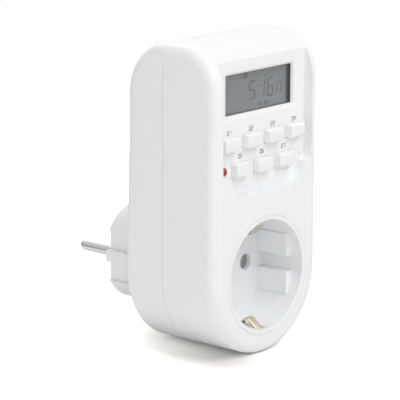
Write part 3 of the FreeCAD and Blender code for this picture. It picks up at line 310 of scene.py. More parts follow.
def bent_strip(name, line, width, thickness, corner):
    """The section carried along a line of (forward, z), square to it at every point."""
    heading = np.gradient(line, axis=0)
    heading /= np.linalg.norm(heading, axis=1)[:, None]
    normal = np.stack([-heading[:, 1], heading[:, 0]], axis=1)
    across, through = strip_section(width, thickness, corner)
    centre = line[:, None, :] + through[None, :, None] * normal[:, None, :]
    loops = np.stack([
        np.broadcast_to(across, centre.shape[:2]), -centre[..., 0], centre[..., 1],
    ], axis=-1)
    return skin(name, loops * MM)


print(f"{4 * CORNER_STEPS} points around a strip, {BEND_STEPS} stops in a bend")

# %% The two clips
CLIP_WIDTH = 3.4
CLIP_THICKNESS = 0.6
CLIP_EDGE = 0.26
MIRROR = np.array([1, -1])


def clip(name, upper, lower, radii, node):
    """A strip from the upper arm's tip to its foot and on to the tip of the lower arm, mirrored."""
    line = bent_line(np.vstack([upper, (lower * MIRROR)[::-1]]), radii)
    strip = bent_strip(name, line, CLIP_WIDTH, CLIP_THICKNESS, CLIP_EDGE)
    seat(strip, HOUSING, "clip_brass", node)
    return strip


upper_tongue = np.array([(38.7, 17.4), (33.9, 13.2), (26.95, 22.3), (2.9, 22.3)])
lower_tongue = np.array([(38.7, 21.0), (33.7, 16.8), (26.95, 22.3), (2.9, 22.3)])
socket_clip = clip("socket_earth_strip", upper_tongue, lower_tongue,
                   [1.4, 1.6, 0.8, 0.8, 1.6, 1.6], "socket_earth_clip")
plug_arm = np.array([(-18.0, 17.5), (-15.3, 17.5), (-10.2, 18.3), (-5.1, 17.5), (2.3, 17.5)])
plug_clip = clip("plug_earth_strip", plug_arm, plug_arm,
                 [6.0, 8.0, 6.0, 0.8, 0.8, 6.0, 8.0, 6.0], "plug_earth_clip")

# %% [markdown]
# ## The shutter's spring
# A small coil of steel wire closes the shutter. The solid one can't grow shorter when the shutter
# slides, so a coil of the same size takes its place, and gets a mesh of its own.

# %% A coil
COIL_TURNS = 8
COIL_STEPS = 36
WIRE_SIDES = 10
WIRE_RADIUS = 0.2


def coil(name, start, end, y, z, radius):
    """The wire's circle carried along a helix about x: one turn for each share of the length."""
    turn = np.linspace(0, 2 * math.pi * COIL_TURNS, COIL_TURNS * COIL_STEPS + 1)
    rise = (end - start - 2 * WIRE_RADIUS) / turn[-1]
    mean = radius - WIRE_RADIUS
    still = np.zeros_like(turn)
    outward = np.stack([still, np.cos(turn), np.sin(turn)], axis=1)
    along = np.stack([still + rise, -mean * np.sin(turn), mean * np.cos(turn)], axis=1)
    along /= np.linalg.norm(along, axis=1)[:, None]
    aside = np.cross(outward, along)
    axis = np.stack([start + WIRE_RADIUS + rise * turn, still + y, still + z], axis=1)
    centre = mean * outward + axis
    around = np.arange(WIRE_SIDES) * 2 * math.pi / WIRE_SIDES
    section = (np.cos(around)[:, None] * outward[:, None]
               + np.sin(around)[:, None] * aside[:, None])
    return skin(name, (centre[:, None] + WIRE_RADIUS * section) * MM)


print(f"{COIL_TURNS} turns of wire {2 * WIRE_RADIUS} mm thick")

low, high = np.array(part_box("shutter_spring")) / MM
spring_y, spring_z = (low[1] + high[1]) / 2, (low[2] + high[2]) / 2
spring_coil = coil("shutter_coil", low[0], high[0], spring_y, spring_z, (high[1] - low[1]) / 2)
seat(spring_coil, HOUSING, "spring_steel", "shutter_spring")
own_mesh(spring_coil)

# %% [markdown]
# ## What the display shows
# A display of this kind makes its digits from straight dark segments under the glass. A text object
# would give the wrong shapes, so each segment is a thin six-sided bar between two corners of a
# digit's frame. All the bars are stacked in arrays and go into one mesh, just in front of the
# glass.

# %% The bars of a digit
SEGMENT_ENDS = {
    "a": (0, 2, 1, 2), "b": (1, 2, 1, 1), "c": (1, 1, 1, 0), "d": (0, 0, 1, 0),
    "e": (0, 1, 0, 0), "f": (0, 2, 0, 1), "g": (0, 1, 1, 1),
}
DIGIT_SEGMENTS = {
    "0": "abcdef", "1": "bc", "2": "abged", "3": "abgcd", "4": "fgbc",
    "5": "afgcd", "6": "afgedc", "7": "abc",
}
SLANT = 0.08


def digit_bars(text, x, z, width, height, step, stroke):
    """The bars of a row of digits, as both ends (x, z) and the half stroke of each."""
    bars = []
    for place, digit in enumerate(text):
        for segment in DIGIT_SEGMENTS[digit]:
            ends = np.array(SEGMENT_ENDS[segment], float).reshape(2, 2) * (width, height / 2)
            ends[:, 0] += x + place * step + SLANT * ends[:, 1]
            ends[:, 1] += z
            bars.append((*ends.ravel(), stroke / 2))
    return bars


print(f"{len(DIGIT_SEGMENTS)} digits from {len(SEGMENT_ENDS)} segments")

# %% Plates along the bars
FILM = 0.03


def plates(name, bars, forward, gap):
    """Six-sided plates along the bars: pointed at both ends, and raised by the film's thickness."""
    bars = np.array(bars, float)
    start, end, half = bars[:, 0:2], bars[:, 2:4], bars[:, 4:5]
    along = (end - start) / np.linalg.norm(end - start, axis=1)[:, None]
    aside = np.stack([-along[:, 1], along[:, 0]], axis=1)
    start, end = start + along * gap, end - along * gap
    outline = np.stack([
        start, start + (along + aside) * half, end + (aside - along) * half,
        end, end - (along + aside) * half, start + (along - aside) * half,
    ], axis=1)
    count, sides = outline.shape[:2]
    points = np.empty((count, 2, sides, 3))
    points[..., 0] = outline[:, None, :, 0]
    points[..., 2] = outline[:, None, :, 1]
    points[:, 0, :, 1] = -forward
    points[:, 1, :, 1] = -(forward + FILM)
    side = np.arange(sides)
    onward = (side + 1) % sides
    ring = np.stack([side, onward, sides + onward, sides + side], axis=1)
    faces = []
    for first in range(0, 2 * sides * count, 2 * sides):
        faces += (ring + first).tolist()
        faces += [(first + side[::-1]).tolist(), (first + sides + side).tolist()]
    return mesh_object(name, points.reshape(-1, 3) * MM, faces)


print(f"a film {FILM} mm thick for segments and print")

# %% Time, small digits and marks
GLASS_FRONT = 34.9
GLASS_GAP = 0.01
SEGMENT_GAP = 0.12
FOOT_Z = 63.4
TIME_DIGITS = (("5", -3.2), ("1", 2.0), ("6", 7.0))
DOT_LEFT, DOT_RIGHT, DOT_STROKE = 1.2, 2.4, 0.42
DAY_LEFT, DAY_RIGHT = -6.7, -3.9
MARK_FOOT, MARK_TOP = 60.1, 62.1
MARK_STROKE = 0.3

time_bars = []
for digit, digit_x in TIME_DIGITS:
    time_bars += digit_bars(digit, digit_x, FOOT_Z, width=3.0, height=6.2, step=0, stroke=0.6)
time_bars += digit_bars("17", 10.7, FOOT_Z, width=1.5, height=4.2, step=2.2, stroke=0.4)
time_bars += [(DOT_LEFT, dot_z, DOT_RIGHT, dot_z, DOT_STROKE) for dot_z in (65.0, 67.7)]
time_bars += [(DAY_LEFT, day_z, DAY_RIGHT, day_z, MARK_STROKE) for day_z in (71.5, 72.2, 72.9)]
time_bars += [(x, MARK_FOOT, x, MARK_TOP, MARK_STROKE) for x in (2.4, 3.9, 5.4, 6.9)]
display_digits = plates("display_digits", time_bars, GLASS_FRONT + GLASS_GAP, SEGMENT_GAP)
seat(display_digits, HOUSING, "dark_plastic")

# %% [markdown]
# ## The numbers by the buttons
# The real panel has small black printing by its keys. Words of a maker aren't copied here: plain
# numbers stand in their place. Pad printing leaves a film of ink a few hundredths of a millimetre
# thick. The digits use the same bars as the display, with rounder strokes close together.

# %% The printed numbers
PANEL_FRONT = 38.5
ROW_SPLIT_Z = 45.0
UPPER_PRINT_Z = 53.05
LOWER_PRINT_Z = 43.95
PRINT_WIDTH = 0.74
PRINT_HEIGHT = 1.5
PRINT_STEP = 1.22
PRINT_STROKE = 0.25
PRINT_SHIFT = 0.7


def key_x(node):
    """The middle of a key, across the panel."""
    low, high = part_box(node)
    return (low[0] + high[0]) / 2 / MM


upper_keys = sorted((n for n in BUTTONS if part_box(n)[0][2] / MM > ROW_SPLIT_Z), key=key_x)
lower_keys = sorted((n for n in BUTTONS if n not in upper_keys), key=key_x)
print_bars = []
for number, node in enumerate(upper_keys + lower_keys, start=1):
    print_z = UPPER_PRINT_Z if node in upper_keys else LOWER_PRINT_Z
    print_bars += digit_bars(
        f"{number:02d}", key_x(node) + PRINT_SHIFT - PRINT_STEP, print_z,
        PRINT_WIDTH, PRINT_HEIGHT, PRINT_STEP, PRINT_STROKE,
    )
printed_numbers = plates("printed_numbers", print_bars, PANEL_FRONT, gap=0.0)
seat(printed_numbers, HOUSING, "dark_plastic")

# %% [markdown]
# ## Helpers for finishes
# A finish is a small network of nodes. Writing it as nested calls keeps it readable: each call
# names the node, its settings and what goes into its sockets, which is a number, a colour or the
# output of another node. Effects that several finishes share are node groups, built once.

# %% Nodes by name


def fill(tree, node, inputs):
    """Each value is set on the node's socket of that name, and each output is linked to it."""
    for key, value in inputs.items():
        if isinstance(value, bpy.types.NodeSocket):
            tree.links.new(value, node.inputs[key])
        else:
            node.inputs[key].default_value = value


def add_node(tree, kind, inputs=None, **settings):
    """A node of that kind, with its settings and its filled sockets."""
    node = tree.nodes.new(kind)
    for key, value in settings.items():
        setattr(node, key, value)
    fill(tree, node, inputs or {})
    return node


def use_group(tree, group, inputs):
    """The outputs of a group's node in that material, with its own values."""
    return add_node(tree, "ShaderNodeGroup", inputs, node_tree=group).outputs


print("helpers: fill, add_node and use_group")

# %% Values, ranges and colours
MIX_FIRST, MIX_SECOND, MIX_RESULT = 6, 7, 2
NOISE_LOW, NOISE_HIGH = 0.3, 0.7


def worked_out(tree, operation, *values):
    """The result of that operation on one or two values."""
    return add_node(
        tree, "ShaderNodeMath", dict(enumerate(values)), operation=operation,
    ).outputs["Value"]


def ranged(tree, value, low, high, bottom=0.0, top=1.0, **settings):
    """The value, with its range from low to high brought to bottom to top, and held there."""
    return add_node(tree, "ShaderNodeMapRange", {
        "Value": value, "From Min": low, "From Max": high, "To Min": bottom, "To Max": top,
    }, **settings).outputs["Result"]


def gloss(tree, noise, least, most):
    """A roughness from least to most, as the noise goes over the range where it mostly stays."""
    return ranged(tree, noise, NOISE_LOW, NOISE_HIGH, least, most)


def rgba(red, green, blue):
    """An opaque colour."""
    return (red, green, blue, 1.0)


def blend_colours(tree, share, first, second):
    """The first colour where the share is nought and the second where it is one."""
    return add_node(tree, "ShaderNodeMix", {
        "Factor": share, MIX_FIRST: first, MIX_SECOND: second,
    }, data_type="RGBA").outputs[MIX_RESULT]


print(f"gloss follows the noise between {NOISE_LOW} and {NOISE_HIGH}")

# %% An empty group
FLOAT, VECTOR = "NodeSocketFloat", "NodeSocketVector"


def new_group(name, inputs, outputs):
    """A shader node group with those (kind, name, value) inputs and (kind, name) outputs."""
    group = bpy.data.node_groups.new(name, "ShaderNodeTree")
    for kind, socket_name, value in inputs:
        socket = group.interface.new_socket(socket_name, in_out="INPUT", socket_type=kind)
        if value is not None:
            socket.default_value = value
    for kind, socket_name in outputs:
        group.interface.new_socket(socket_name, in_out="OUTPUT", socket_type=kind)
    return group, group.nodes.new("NodeGroupInput").outputs, group.nodes.new("NodeGroupOutput")


print("groups take and give", FLOAT, "and", VECTOR)

# %% [markdown]
# ## Moulded grain
# A moulding copies the spark-eroded skin of its steel mould, a grain of a few tenths of a
# millimetre and a few thousandths deep. It breaks up reflections without being seen as bumps. Two
# noises do it, one fine and one coarser, and the coarse one also drives how matt each patch is.
# A rounded normal under the grain softens the hard edges of the solids.

# %% The grain group
grain_group, ask, give = new_group(
    "moulded_grain",
    [(VECTOR, "Place", None), (FLOAT, "Cells per metre", 2400.0), (FLOAT, "Depth", 0.000006),
     (FLOAT, "Softness", 0.0001)],
    [(VECTOR, "Normal"), (FLOAT, "Patches")],
)
softened = add_node(grain_group, "ShaderNodeBevel", {"Radius": ask["Softness"]}, samples=6)
fine = add_node(grain_group, "ShaderNodeTexNoise", {
    "Vector": ask["Place"], "Scale": ask["Cells per metre"], "Detail": 3.0, "Roughness": 0.6,
})
coarse = add_node(grain_group, "ShaderNodeTexNoise", {
    "Vector": ask["Place"], "Scale": 160.0, "Detail": 2.0, "Roughness": 0.5,
})
skin_bump = add_node(grain_group, "ShaderNodeBump", {
    "Height": fine.outputs["Fac"], "Distance": ask["Depth"], "Strength": 1.0,
    "Normal": softened.outputs["Normal"],
})
fill(grain_group, give, {
    "Normal": skin_bump.outputs["Normal"], "Patches": coarse.outputs["Fac"],
})
print(f"{grain_group.name}: {len(grain_group.nodes)} nodes")

# %% [markdown]
# ## Rubbed edges
# Handling rubs the edges of a moulding shiny and a touch darker. The edge is found by comparing
# the true normal with one that is rounded over a small radius: they differ only close to an edge.
# A noise breaks the mark up, so that no edge is rubbed evenly.

# %% The edge group
edge_group, ask, give = new_group(
    "rubbed_edges",
    [(VECTOR, "Place", None), (FLOAT, "Reach", 0.0004), (FLOAT, "Amount", 0.5)],
    [(FLOAT, "Mask")],
)
rounded = add_node(edge_group, "ShaderNodeBevel", {"Radius": ask["Reach"]}, samples=4)
true_normal = add_node(edge_group, "ShaderNodeNewGeometry")
likeness = add_node(edge_group, "ShaderNodeVectorMath", {
    0: rounded.outputs["Normal"], 1: true_normal.outputs["Normal"],
}, operation="DOT_PRODUCT")
broken = add_node(edge_group, "ShaderNodeTexNoise", {
    "Vector": ask["Place"], "Scale": 420.0, "Detail": 4.0,
})
near_edge = ranged(edge_group, likeness.outputs["Value"], 0.995, 0.8)
patchy = ranged(edge_group, broken.outputs["Fac"], 0.4, 0.65)
rubbed = worked_out(edge_group, "MULTIPLY", near_edge, patchy)
fill(edge_group, give, {"Mask": worked_out(edge_group, "MULTIPLY", rubbed, ask["Amount"])})
print(f"{edge_group.name}: {len(edge_group.nodes)} nodes")

# %% [markdown]
# ## Drawn metal
# Strip and pin are rolled or drawn, which leaves fine streaks along the metal. A noise that is
# squeezed across one axis and stretched along the other makes them. They tint the metal a little,
# change how sharp its reflections are, and tilt its normal by a hair.

# %% The streak group
streak_group, ask, give = new_group(
    "drawn_streaks",
    [(VECTOR, "Place", None), (VECTOR, "Stretch", (3000.0, 60.0, 60.0)),
     (FLOAT, "Depth", 0.000002)],
    [(VECTOR, "Normal"), (FLOAT, "Streaks"), (FLOAT, "Cloud")],
)
stretched = add_node(streak_group, "ShaderNodeVectorMath", {
    0: ask["Place"], 1: ask["Stretch"],
}, operation="MULTIPLY")
streaks = add_node(streak_group, "ShaderNodeTexNoise", {
    "Vector": stretched.outputs["Vector"], "Scale": 1.0, "Detail": 3.0,
})
cloud = add_node(streak_group, "ShaderNodeTexNoise", {
    "Vector": ask["Place"], "Scale": 260.0, "Detail": 3.0,
})
streak_bump = add_node(streak_group, "ShaderNodeBump", {
    "Height": streaks.outputs["Fac"], "Distance": ask["Depth"], "Strength": 1.0,
})
fill(streak_group, give, {
    "Normal": streak_bump.outputs["Normal"], "Streaks": streaks.outputs["Fac"],
    "Cloud": cloud.outputs["Fac"],
})
print(f"{streak_group.name}: {len(streak_group.nodes)} nodes")

# %% [markdown]
# ## Plastic finishes
# Housing, socket, keys, wires and component cases are all coloured plastic or lacquer. They differ
# in colour, in how matt they are, and in how deep their grain is. One recipe with those values
# makes them all: two close tones drift over the surface, and the rubbed edges shift towards a
# third. The housing's halves also meet in a groove that is too fine to show its own shade, so a
# painted shade makes the shell a little darker along it.

# %% The ground of every finish


def ground(name):
    """A material with its tree, its shader and the place on the object, still without a pattern."""
    material = bpy.data.materials.new(name)
    material.use_nodes = True
    tree = material.node_tree
    place = add_node(tree, "ShaderNodeTexCoord").outputs["Object"]
    return material, tree, tree.nodes["Principled BSDF"], place


FINISHES = {}
print(f"{len(FINISHES)} finishes so far")

# %% The painted shade in the housing's seam
SEAM_Y = -0.0174
# Reach and strength of the painted shade along the seam.
SEAM_HALF, SEAM_FADED = 0.0001, 0.0002
SEAM_SHADE_SHARE = 0.2
# The colour of the painted shade in the seam's groove.
SEAM_SHADE_COLOUR = (0.2, 0.2, 0.21)


def painted_seam_shade(tree, place):
    """Painted shade, strongest in the fine groove where the two halves meet, and nought beside it.
    """
    along_y = add_node(tree, "ShaderNodeSeparateXYZ", {"Vector": place}).outputs["Y"]
    offset = worked_out(tree, "SUBTRACT", along_y, SEAM_Y)
    distance = worked_out(tree, "ABSOLUTE", offset)
    return ranged(tree, distance, SEAM_HALF, SEAM_FADED, SEAM_SHADE_SHARE, 0.0)


print(f"the seam is {-SEAM_Y / MM:.1f} mm in front of the housing's back")

# %% The plastic recipe
GLOSS_DRIFT = 0.04
PLASTIC_IOR = 1.5


def plastic(name, colour, drift, worn, roughness, cells=2400.0, depth=0.000005, edges=0.5,
            softness=0.0001, seam_shaded=False):
    """Moulded plastic: two tones that drift, rubbed edges, and grain in gloss and normal."""
    material, tree, shader, place = ground(name)
    grain = use_group(tree, grain_group, {
        "Place": place, "Cells per metre": cells, "Depth": depth, "Softness": softness,
    })
    rubbed = use_group(tree, edge_group, {"Place": place, "Amount": edges})
    tone = blend_colours(tree, grain["Patches"], rgba(*colour), rgba(*drift))
    tone = blend_colours(tree, rubbed["Mask"], tone, rgba(*worn))
    # Painted shade along the groove where the two halves meet.
    if seam_shaded:
        tone = blend_colours(tree, painted_seam_shade(tree, place), tone, rgba(*SEAM_SHADE_COLOUR))
    matt = gloss(tree, grain["Patches"], roughness - GLOSS_DRIFT, roughness + GLOSS_DRIFT)
    fill(tree, shader, {
        "Base Color": tone, "Roughness": matt, "Normal": grain["Normal"], "IOR": PLASTIC_IOR,
    })
    return material


print(f"plastic bends light by {PLASTIC_IOR}")

# %% White and grey mouldings
FINISHES.update({
    # The shell carries the painted shade of its seam.
    "shell_plastic": plastic("white_shell", (0.88, 0.895, 0.913), (0.894, 0.907, 0.922),
                             (0.82, 0.82, 0.825), 0.36, depth=0.000006, edges=0.05,
                             softness=0.00015, seam_shaded=True),
    "socket_plastic": plastic("white_socket", (0.882, 0.897, 0.915), (0.896, 0.909, 0.924),
                              (0.84, 0.84, 0.845), 0.35, depth=0.000004, edges=0.04,
                              softness=0.00015),
    "button_plastic": plastic("white_keys", (0.88, 0.875, 0.885), (0.9, 0.895, 0.9),
                              (0.8, 0.795, 0.8), 0.42, cells=3200.0, edges=0.3),
    "inner_plastic": plastic("inner_moulding", (0.74, 0.74, 0.72), (0.78, 0.78, 0.75),
                             (0.62, 0.62, 0.6), 0.45),
    "grey_plastic": plastic("grey_moulding", (0.3, 0.31, 0.315), (0.34, 0.35, 0.355),
                            (0.4, 0.4, 0.4), 0.4),
    "dark_plastic": plastic("black_moulding", (0.012, 0.012, 0.013), (0.02, 0.02, 0.022),
                            (0.06, 0.06, 0.06), 0.4),
    "rubber": plastic("silicone_mat", (0.6, 0.6, 0.58), (0.66, 0.66, 0.63),
                      (0.5, 0.5, 0.48), 0.6),
    "strip_rubber": plastic("strip_rubber", (0.04, 0.04, 0.045), (0.07, 0.07, 0.075),
                            (0.1, 0.1, 0.1), 0.65),
    "ink": plastic("printed_ink", (0.08, 0.08, 0.085), (0.11, 0.11, 0.115),
                   (0.15, 0.15, 0.15), 0.5),
    "segment_ink": plastic("display_segment", (0.010, 0.0105, 0.011), (0.014, 0.0145, 0.015),
                           (0.014, 0.014, 0.014), 0.16, depth=0.0000003, edges=0.0,
                           softness=0.0),
})
print(f"{len(FINISHES)} finishes so far")

# %% Cases, coats and sleeves of the inside
FINISHES.update({
    "relay_case": plastic("blue_case", (0.03, 0.09, 0.27), (0.04, 0.11, 0.3),
                          (0.1, 0.18, 0.38), 0.3),
    "film_case": plastic("yellow_case", (0.62, 0.37, 0.03), (0.7, 0.44, 0.05),
                         (0.75, 0.55, 0.2), 0.3),
    "varistor_coat": plastic("blue_lacquer", (0.03, 0.12, 0.4), (0.04, 0.16, 0.46),
                             (0.15, 0.25, 0.5), 0.32, cells=900.0, depth=0.00003),
    "resistor_coat": plastic("green_lacquer", (0.26, 0.44, 0.34), (0.32, 0.5, 0.4),
                             (0.5, 0.6, 0.5), 0.5, cells=900.0, depth=0.00002),
    "diode_body": plastic("diode_moulding", (0.015, 0.015, 0.016), (0.025, 0.025, 0.026),
                          (0.09, 0.09, 0.09), 0.42),
    "wire_brown": plastic("brown_sleeve", (0.13, 0.045, 0.018), (0.17, 0.06, 0.025),
                          (0.2, 0.1, 0.05), 0.38, cells=1400.0),
    "wire_blue": plastic("blue_sleeve", (0.012, 0.05, 0.33), (0.02, 0.07, 0.4),
                         (0.08, 0.14, 0.45), 0.38, cells=1400.0),
    "board": plastic("green_board", (0.006, 0.09, 0.03), (0.01, 0.12, 0.045),
                     (0.3, 0.3, 0.12), 0.34, cells=1200.0, depth=0.00001, edges=0.9),
    "resin": plastic("black_resin", (0.008, 0.008, 0.009), (0.016, 0.016, 0.017),
                     (0.03, 0.03, 0.03), 0.18, cells=500.0, depth=0.00003),
})
print(f"{len(FINISHES)} finishes so far")

# %% [markdown]
# ## Metal finishes
# The clips are tinned brass, warm where the tin is thin. The pins are nickel-plated, and springs,
# leads and screws are zinc or tin over steel or copper. All of them are a bright metal whose
# streaks run along the way it was drawn, with a second tone that clouds the first. A polished pin
# mirrors the room in bands along its length. In a plain white room the dark one would be lost, so
# it is a painted reflection: a dark band in the pin's own colour.

# %% The painted reflection band of a pin
# Where the painted reflection band rises and fades, by the height of the normal.
BAND_TOP, BAND_FULL_TOP = 0.92, 0.15
BAND_FOOT, BAND_FULL_FOOT = -0.2, 0.05
# The colour of the painted reflection of the dark room.
REFLECTION_BAND_COLOUR = (0.3, 0.3, 0.305)


def painted_reflection_band(tree):
    """Painted reflection: one where the surface faces sideways and a little up, fading to nought
    above and below.
    """
    normal = add_node(tree, "ShaderNodeTexCoord").outputs["Normal"]
    upward = add_node(tree, "ShaderNodeSeparateXYZ", {"Vector": normal}).outputs["Z"]
    above = ranged(tree, upward, BAND_TOP, BAND_FULL_TOP, interpolation_type="SMOOTHSTEP")
    below = ranged(tree, upward, BAND_FOOT, BAND_FULL_FOOT, interpolation_type="SMOOTHSTEP")
    return worked_out(tree, "MULTIPLY", above, below)


print(f"the band is full where the normal's height is near {BAND_FULL_FOOT}")

# %% The metal recipe
ALONG_Y = (2600.0, 60.0, 2600.0)
ALONG_YZ = (3000.0, 50.0, 50.0)
STREAK_DEPTH = 0.000002
RUBBED_REACH, RUBBED_AMOUNT, RUBBED_GAIN = 0.00015, 0.6, 1.12
GLOSS_BELOW, GLOSS_ABOVE = 0.05, 0.07


def metal(name, colour, clouded, roughness, stretch, reflection_banded=False):
    """Bright metal: clouded tone, and streaks in its gloss and its normal."""
    material, tree, shader, place = ground(name)
    drawn = use_group(tree, streak_group, {
        "Place": place, "Stretch": stretch, "Depth": STREAK_DEPTH,
    })
    rubbed = use_group(tree, edge_group, {
        "Place": place, "Reach": RUBBED_REACH, "Amount": RUBBED_AMOUNT,
    })
    tone = blend_colours(tree, drawn["Cloud"], rgba(*colour), rgba(*clouded))
    # A painted reflection: a dark band where polished metal would mirror the dark room.
    if reflection_banded:
        tone = blend_colours(tree, painted_reflection_band(tree), tone, rgba(*REFLECTION_BAND_COLOUR))
    bright = [min(1.0, RUBBED_GAIN * value) for value in colour]
    fill(tree, shader, {
        "Base Color": blend_colours(tree, rubbed["Mask"], tone, rgba(*bright)),
        "Roughness": gloss(
            tree, drawn["Streaks"], roughness - GLOSS_BELOW, roughness + GLOSS_ABOVE,
        ),
        "Normal": drawn["Normal"], "Metallic": 1.0,
    })
    return material


print(f"rubbed metal is {RUBBED_GAIN} times as bright")

# %% The metals
FINISHES.update({
    "clip_brass": metal("tinned_brass", (0.86, 0.77, 0.64), (0.74, 0.60, 0.44), 0.2, ALONG_YZ),
    "contact_brass": metal("bright_brass", (0.78, 0.6, 0.28), (0.66, 0.48, 0.2), 0.22, ALONG_YZ),
    # The pins carry the painted reflection band.
    "pin_nickel": metal("plated_pin", (0.86, 0.86, 0.865), (0.8, 0.8, 0.8), 0.12, ALONG_Y,
                        reflection_banded=True),
    "spring_steel": metal("spring_wire", (0.58, 0.58, 0.57), (0.48, 0.48, 0.47), 0.24, ALONG_Y),
    "screw_steel": metal("zinc_screw", (0.64, 0.65, 0.67), (0.52, 0.53, 0.56), 0.3, ALONG_Y),
    "cell_steel": metal("cell_can", (0.66, 0.66, 0.65), (0.56, 0.56, 0.55), 0.24, ALONG_Y),
    "can_sleeve": metal("crystal_can", (0.7, 0.7, 0.69), (0.6, 0.6, 0.59), 0.22, ALONG_Y),
    "link_copper": metal("tinned_copper", (0.66, 0.63, 0.58), (0.56, 0.5, 0.44), 0.26, ALONG_Y),
})
print(f"{len(FINISHES)} finishes so far")

# %% [markdown]
# ## Window, glass and lens
# The window is clear acrylic. Light that a lamp sends through it would be lost in the noise, so for
# shadow rays it counts as open. The panel behind it is a grey reflector under glass: a soft tone,
# faintly speckled. The status lens is resin that is tinted red all through. Its rim has a painted
# glow: it is lighter, as light that passes through the thinner resin there.

# %% Clear acrylic
material, tree, shader, place = ground("clear_window")
haze = use_group(tree, grain_group, {
    "Place": place, "Cells per metre": 900.0, "Depth": 0.0000002, "Softness": 0.0,
})
fill(tree, shader, {
    "Base Color": rgba(1.0, 1.0, 1.0), "Transmission Weight": 1.0, "IOR": 1.49,
    "Roughness": gloss(tree, haze["Patches"], 0.01, 0.03), "Normal": haze["Normal"],
})
open_air = add_node(tree, "ShaderNodeBsdfTransparent")
window_mix = add_node(tree, "ShaderNodeMixShader", {
    0: add_node(tree, "ShaderNodeLightPath").outputs["Is Shadow Ray"],
    1: shader.outputs["BSDF"], 2: open_air.outputs["BSDF"],
})
fill(tree, tree.nodes["Material Output"], {"Surface": window_mix.outputs["Shader"]})
FINISHES["lens"] = material
print(f"{material.name}: {len(tree.nodes)} nodes")

# %% Grey display glass
material, tree, shader, place = ground("display_glass")
speckle = add_node(tree, "ShaderNodeTexNoise", {"Vector": place, "Scale": 5200.0, "Detail": 1.0})
glass_haze = use_group(tree, grain_group, {"Place": place, "Depth": 0.0000003, "Softness": 0.0})
fill(tree, shader, {
    "Base Color": blend_colours(
        tree, speckle.outputs["Fac"], rgba(0.088, 0.1, 0.108), rgba(0.1, 0.112, 0.12),
    ),
    "Roughness": gloss(tree, glass_haze["Patches"], 0.12, 0.2),
})
FINISHES["lcd_glass"] = material
print(f"{material.name}: {len(tree.nodes)} nodes")

# %% Red resin with a painted glow at its rim
CORE_SHARE = 0.3

material, tree, shader, place = ground("red_resin")
lens_face = add_node(tree, "ShaderNodeVectorMath", {
    0: place, 1: (1.0, 0.0, 1.0),
}, operation="MULTIPLY")
from_axis = add_node(tree, "ShaderNodeVectorMath", {
    0: lens_face.outputs["Vector"], 1: (led_x * MM, 0.0, led_z * MM),
}, operation="DISTANCE")
# Painted glow: lighter towards the rim, where light would pass through thinner resin.
painted_rim_glow = ranged(
    tree, from_axis.outputs["Value"], CORE_SHARE * LED_RADIUS * MM, LED_RADIUS * MM,
)
# The dark red of the thick middle, and the lighter red of the painted glow at the rim.
glowing_rim_tone = blend_colours(tree, painted_rim_glow, rgba(0.33, 0.012, 0.012), rgba(0.6, 0.05, 0.04))
resin_cloud = use_group(tree, grain_group, {
    "Place": place, "Cells per metre": 1500.0, "Depth": 0.000002,
})
fill(tree, shader, {
    "Base Color": blend_colours(
        tree, resin_cloud["Patches"], glowing_rim_tone, rgba(0.45, 0.02, 0.018),
    ),
    "Roughness": gloss(tree, resin_cloud["Patches"], 0.1, 0.16),
    "Normal": resin_cloud["Normal"], "IOR": 1.54,
})
FINISHES["led_lens"] = material
print(f"{material.name}: {len(tree.nodes)} nodes")

# %% [markdown]
# ## Dressing every part
# Each solid keeps its shape and only gets its finish. The list says which finish goes on which
# part, and the line after it prints the parts that are left without one.

# %% Finishes on the solid parts
DRESSED = {
    "shell_plastic": ["front_cover", "rear_cover"],
    "socket_plastic": ["socket_cup"],
    "inner_plastic": ["contact_carrier"],
    "grey_plastic": ["shutter"],
    "button_plastic": ["reset_button", *BUTTONS],
    "dark_plastic": ["lcd_holder", "reset_switch"],
    "lens": ["display_window"],
    "lcd_glass": ["lcd_panel"],
    "strip_rubber": ["display_contact_strips"],
    "rubber": ["keypad_mat"],
    "led_lens": ["status_led"],
    "board": ["logic_board", "power_board"],
    "resin": ["controller_chip"],
    "can_sleeve": ["quartz_crystal"],
    "cell_steel": ["standby_cell"],
    "clip_brass": ["socket_earth_clip", "plug_earth_clip", "cell_tabs"],
    "contact_brass": ["line_contact", "neutral_contact"],
    "pin_nickel": ["plug_pins"],
    "spring_steel": ["shutter_spring"],
    "screw_steel": ["case_screws", "board_screws"],
    "link_copper": ["board_link_wires"],
    "relay_case": ["relay"],
    "film_case": ["dropper_capacitor"],
    "diode_body": ["smoothing_capacitor", "rectifier_diodes"],
    "varistor_coat": ["varistor"],
    "resistor_coat": ["fuse_resistor"],
    "wire_brown": ["line_feed_wire", "switched_line_wire"],
    "wire_blue": ["neutral_feed_wire", "neutral_link_wire"],
}


def dress(piece, finish):
    """The finish goes into every material slot of the piece, or into a first one."""
    if not piece.material_slots:
        piece.data.materials.append(None)
    for slot in piece.material_slots:
        slot.material = FINISHES[finish]


for finish, names in DRESSED.items():
    for name in names:
        dress(nodes[name], finish)
bare = set(nodes) - {name for names in DRESSED.values() for name in names}
print(f"parts without a finish: {sorted(bare)}")

# %% Finishes on the new pieces
NEW_PIECES = {
    "button_plastic": caps,
    "led_lens": [led_lens],
    "clip_brass": [socket_clip, plug_clip],
    "spring_steel": [spring_coil],
    "segment_ink": [display_digits],
    "ink": [printed_numbers],
}
for finish, pieces in NEW_PIECES.items():
    for piece in pieces:
        dress(piece, finish)
print(f"{sum(len(pieces) for pieces in NEW_PIECES.values())} new pieces dressed")

# %% [markdown]
# ## The paper
# The photograph is a studio shot on white paper. The paper is white to the camera through its own
# colour, not through more light, so the object is lit at a plain level. Round a middle in front of
# the object a painted shadow lowers and warms the paper's colour, and the lamps' own shadow shows
# through it. Away from it the colour rises, and far off the paper is simply white, up to the
# horizon. Light that bounces off the paper meets a plain pale tone everywhere.

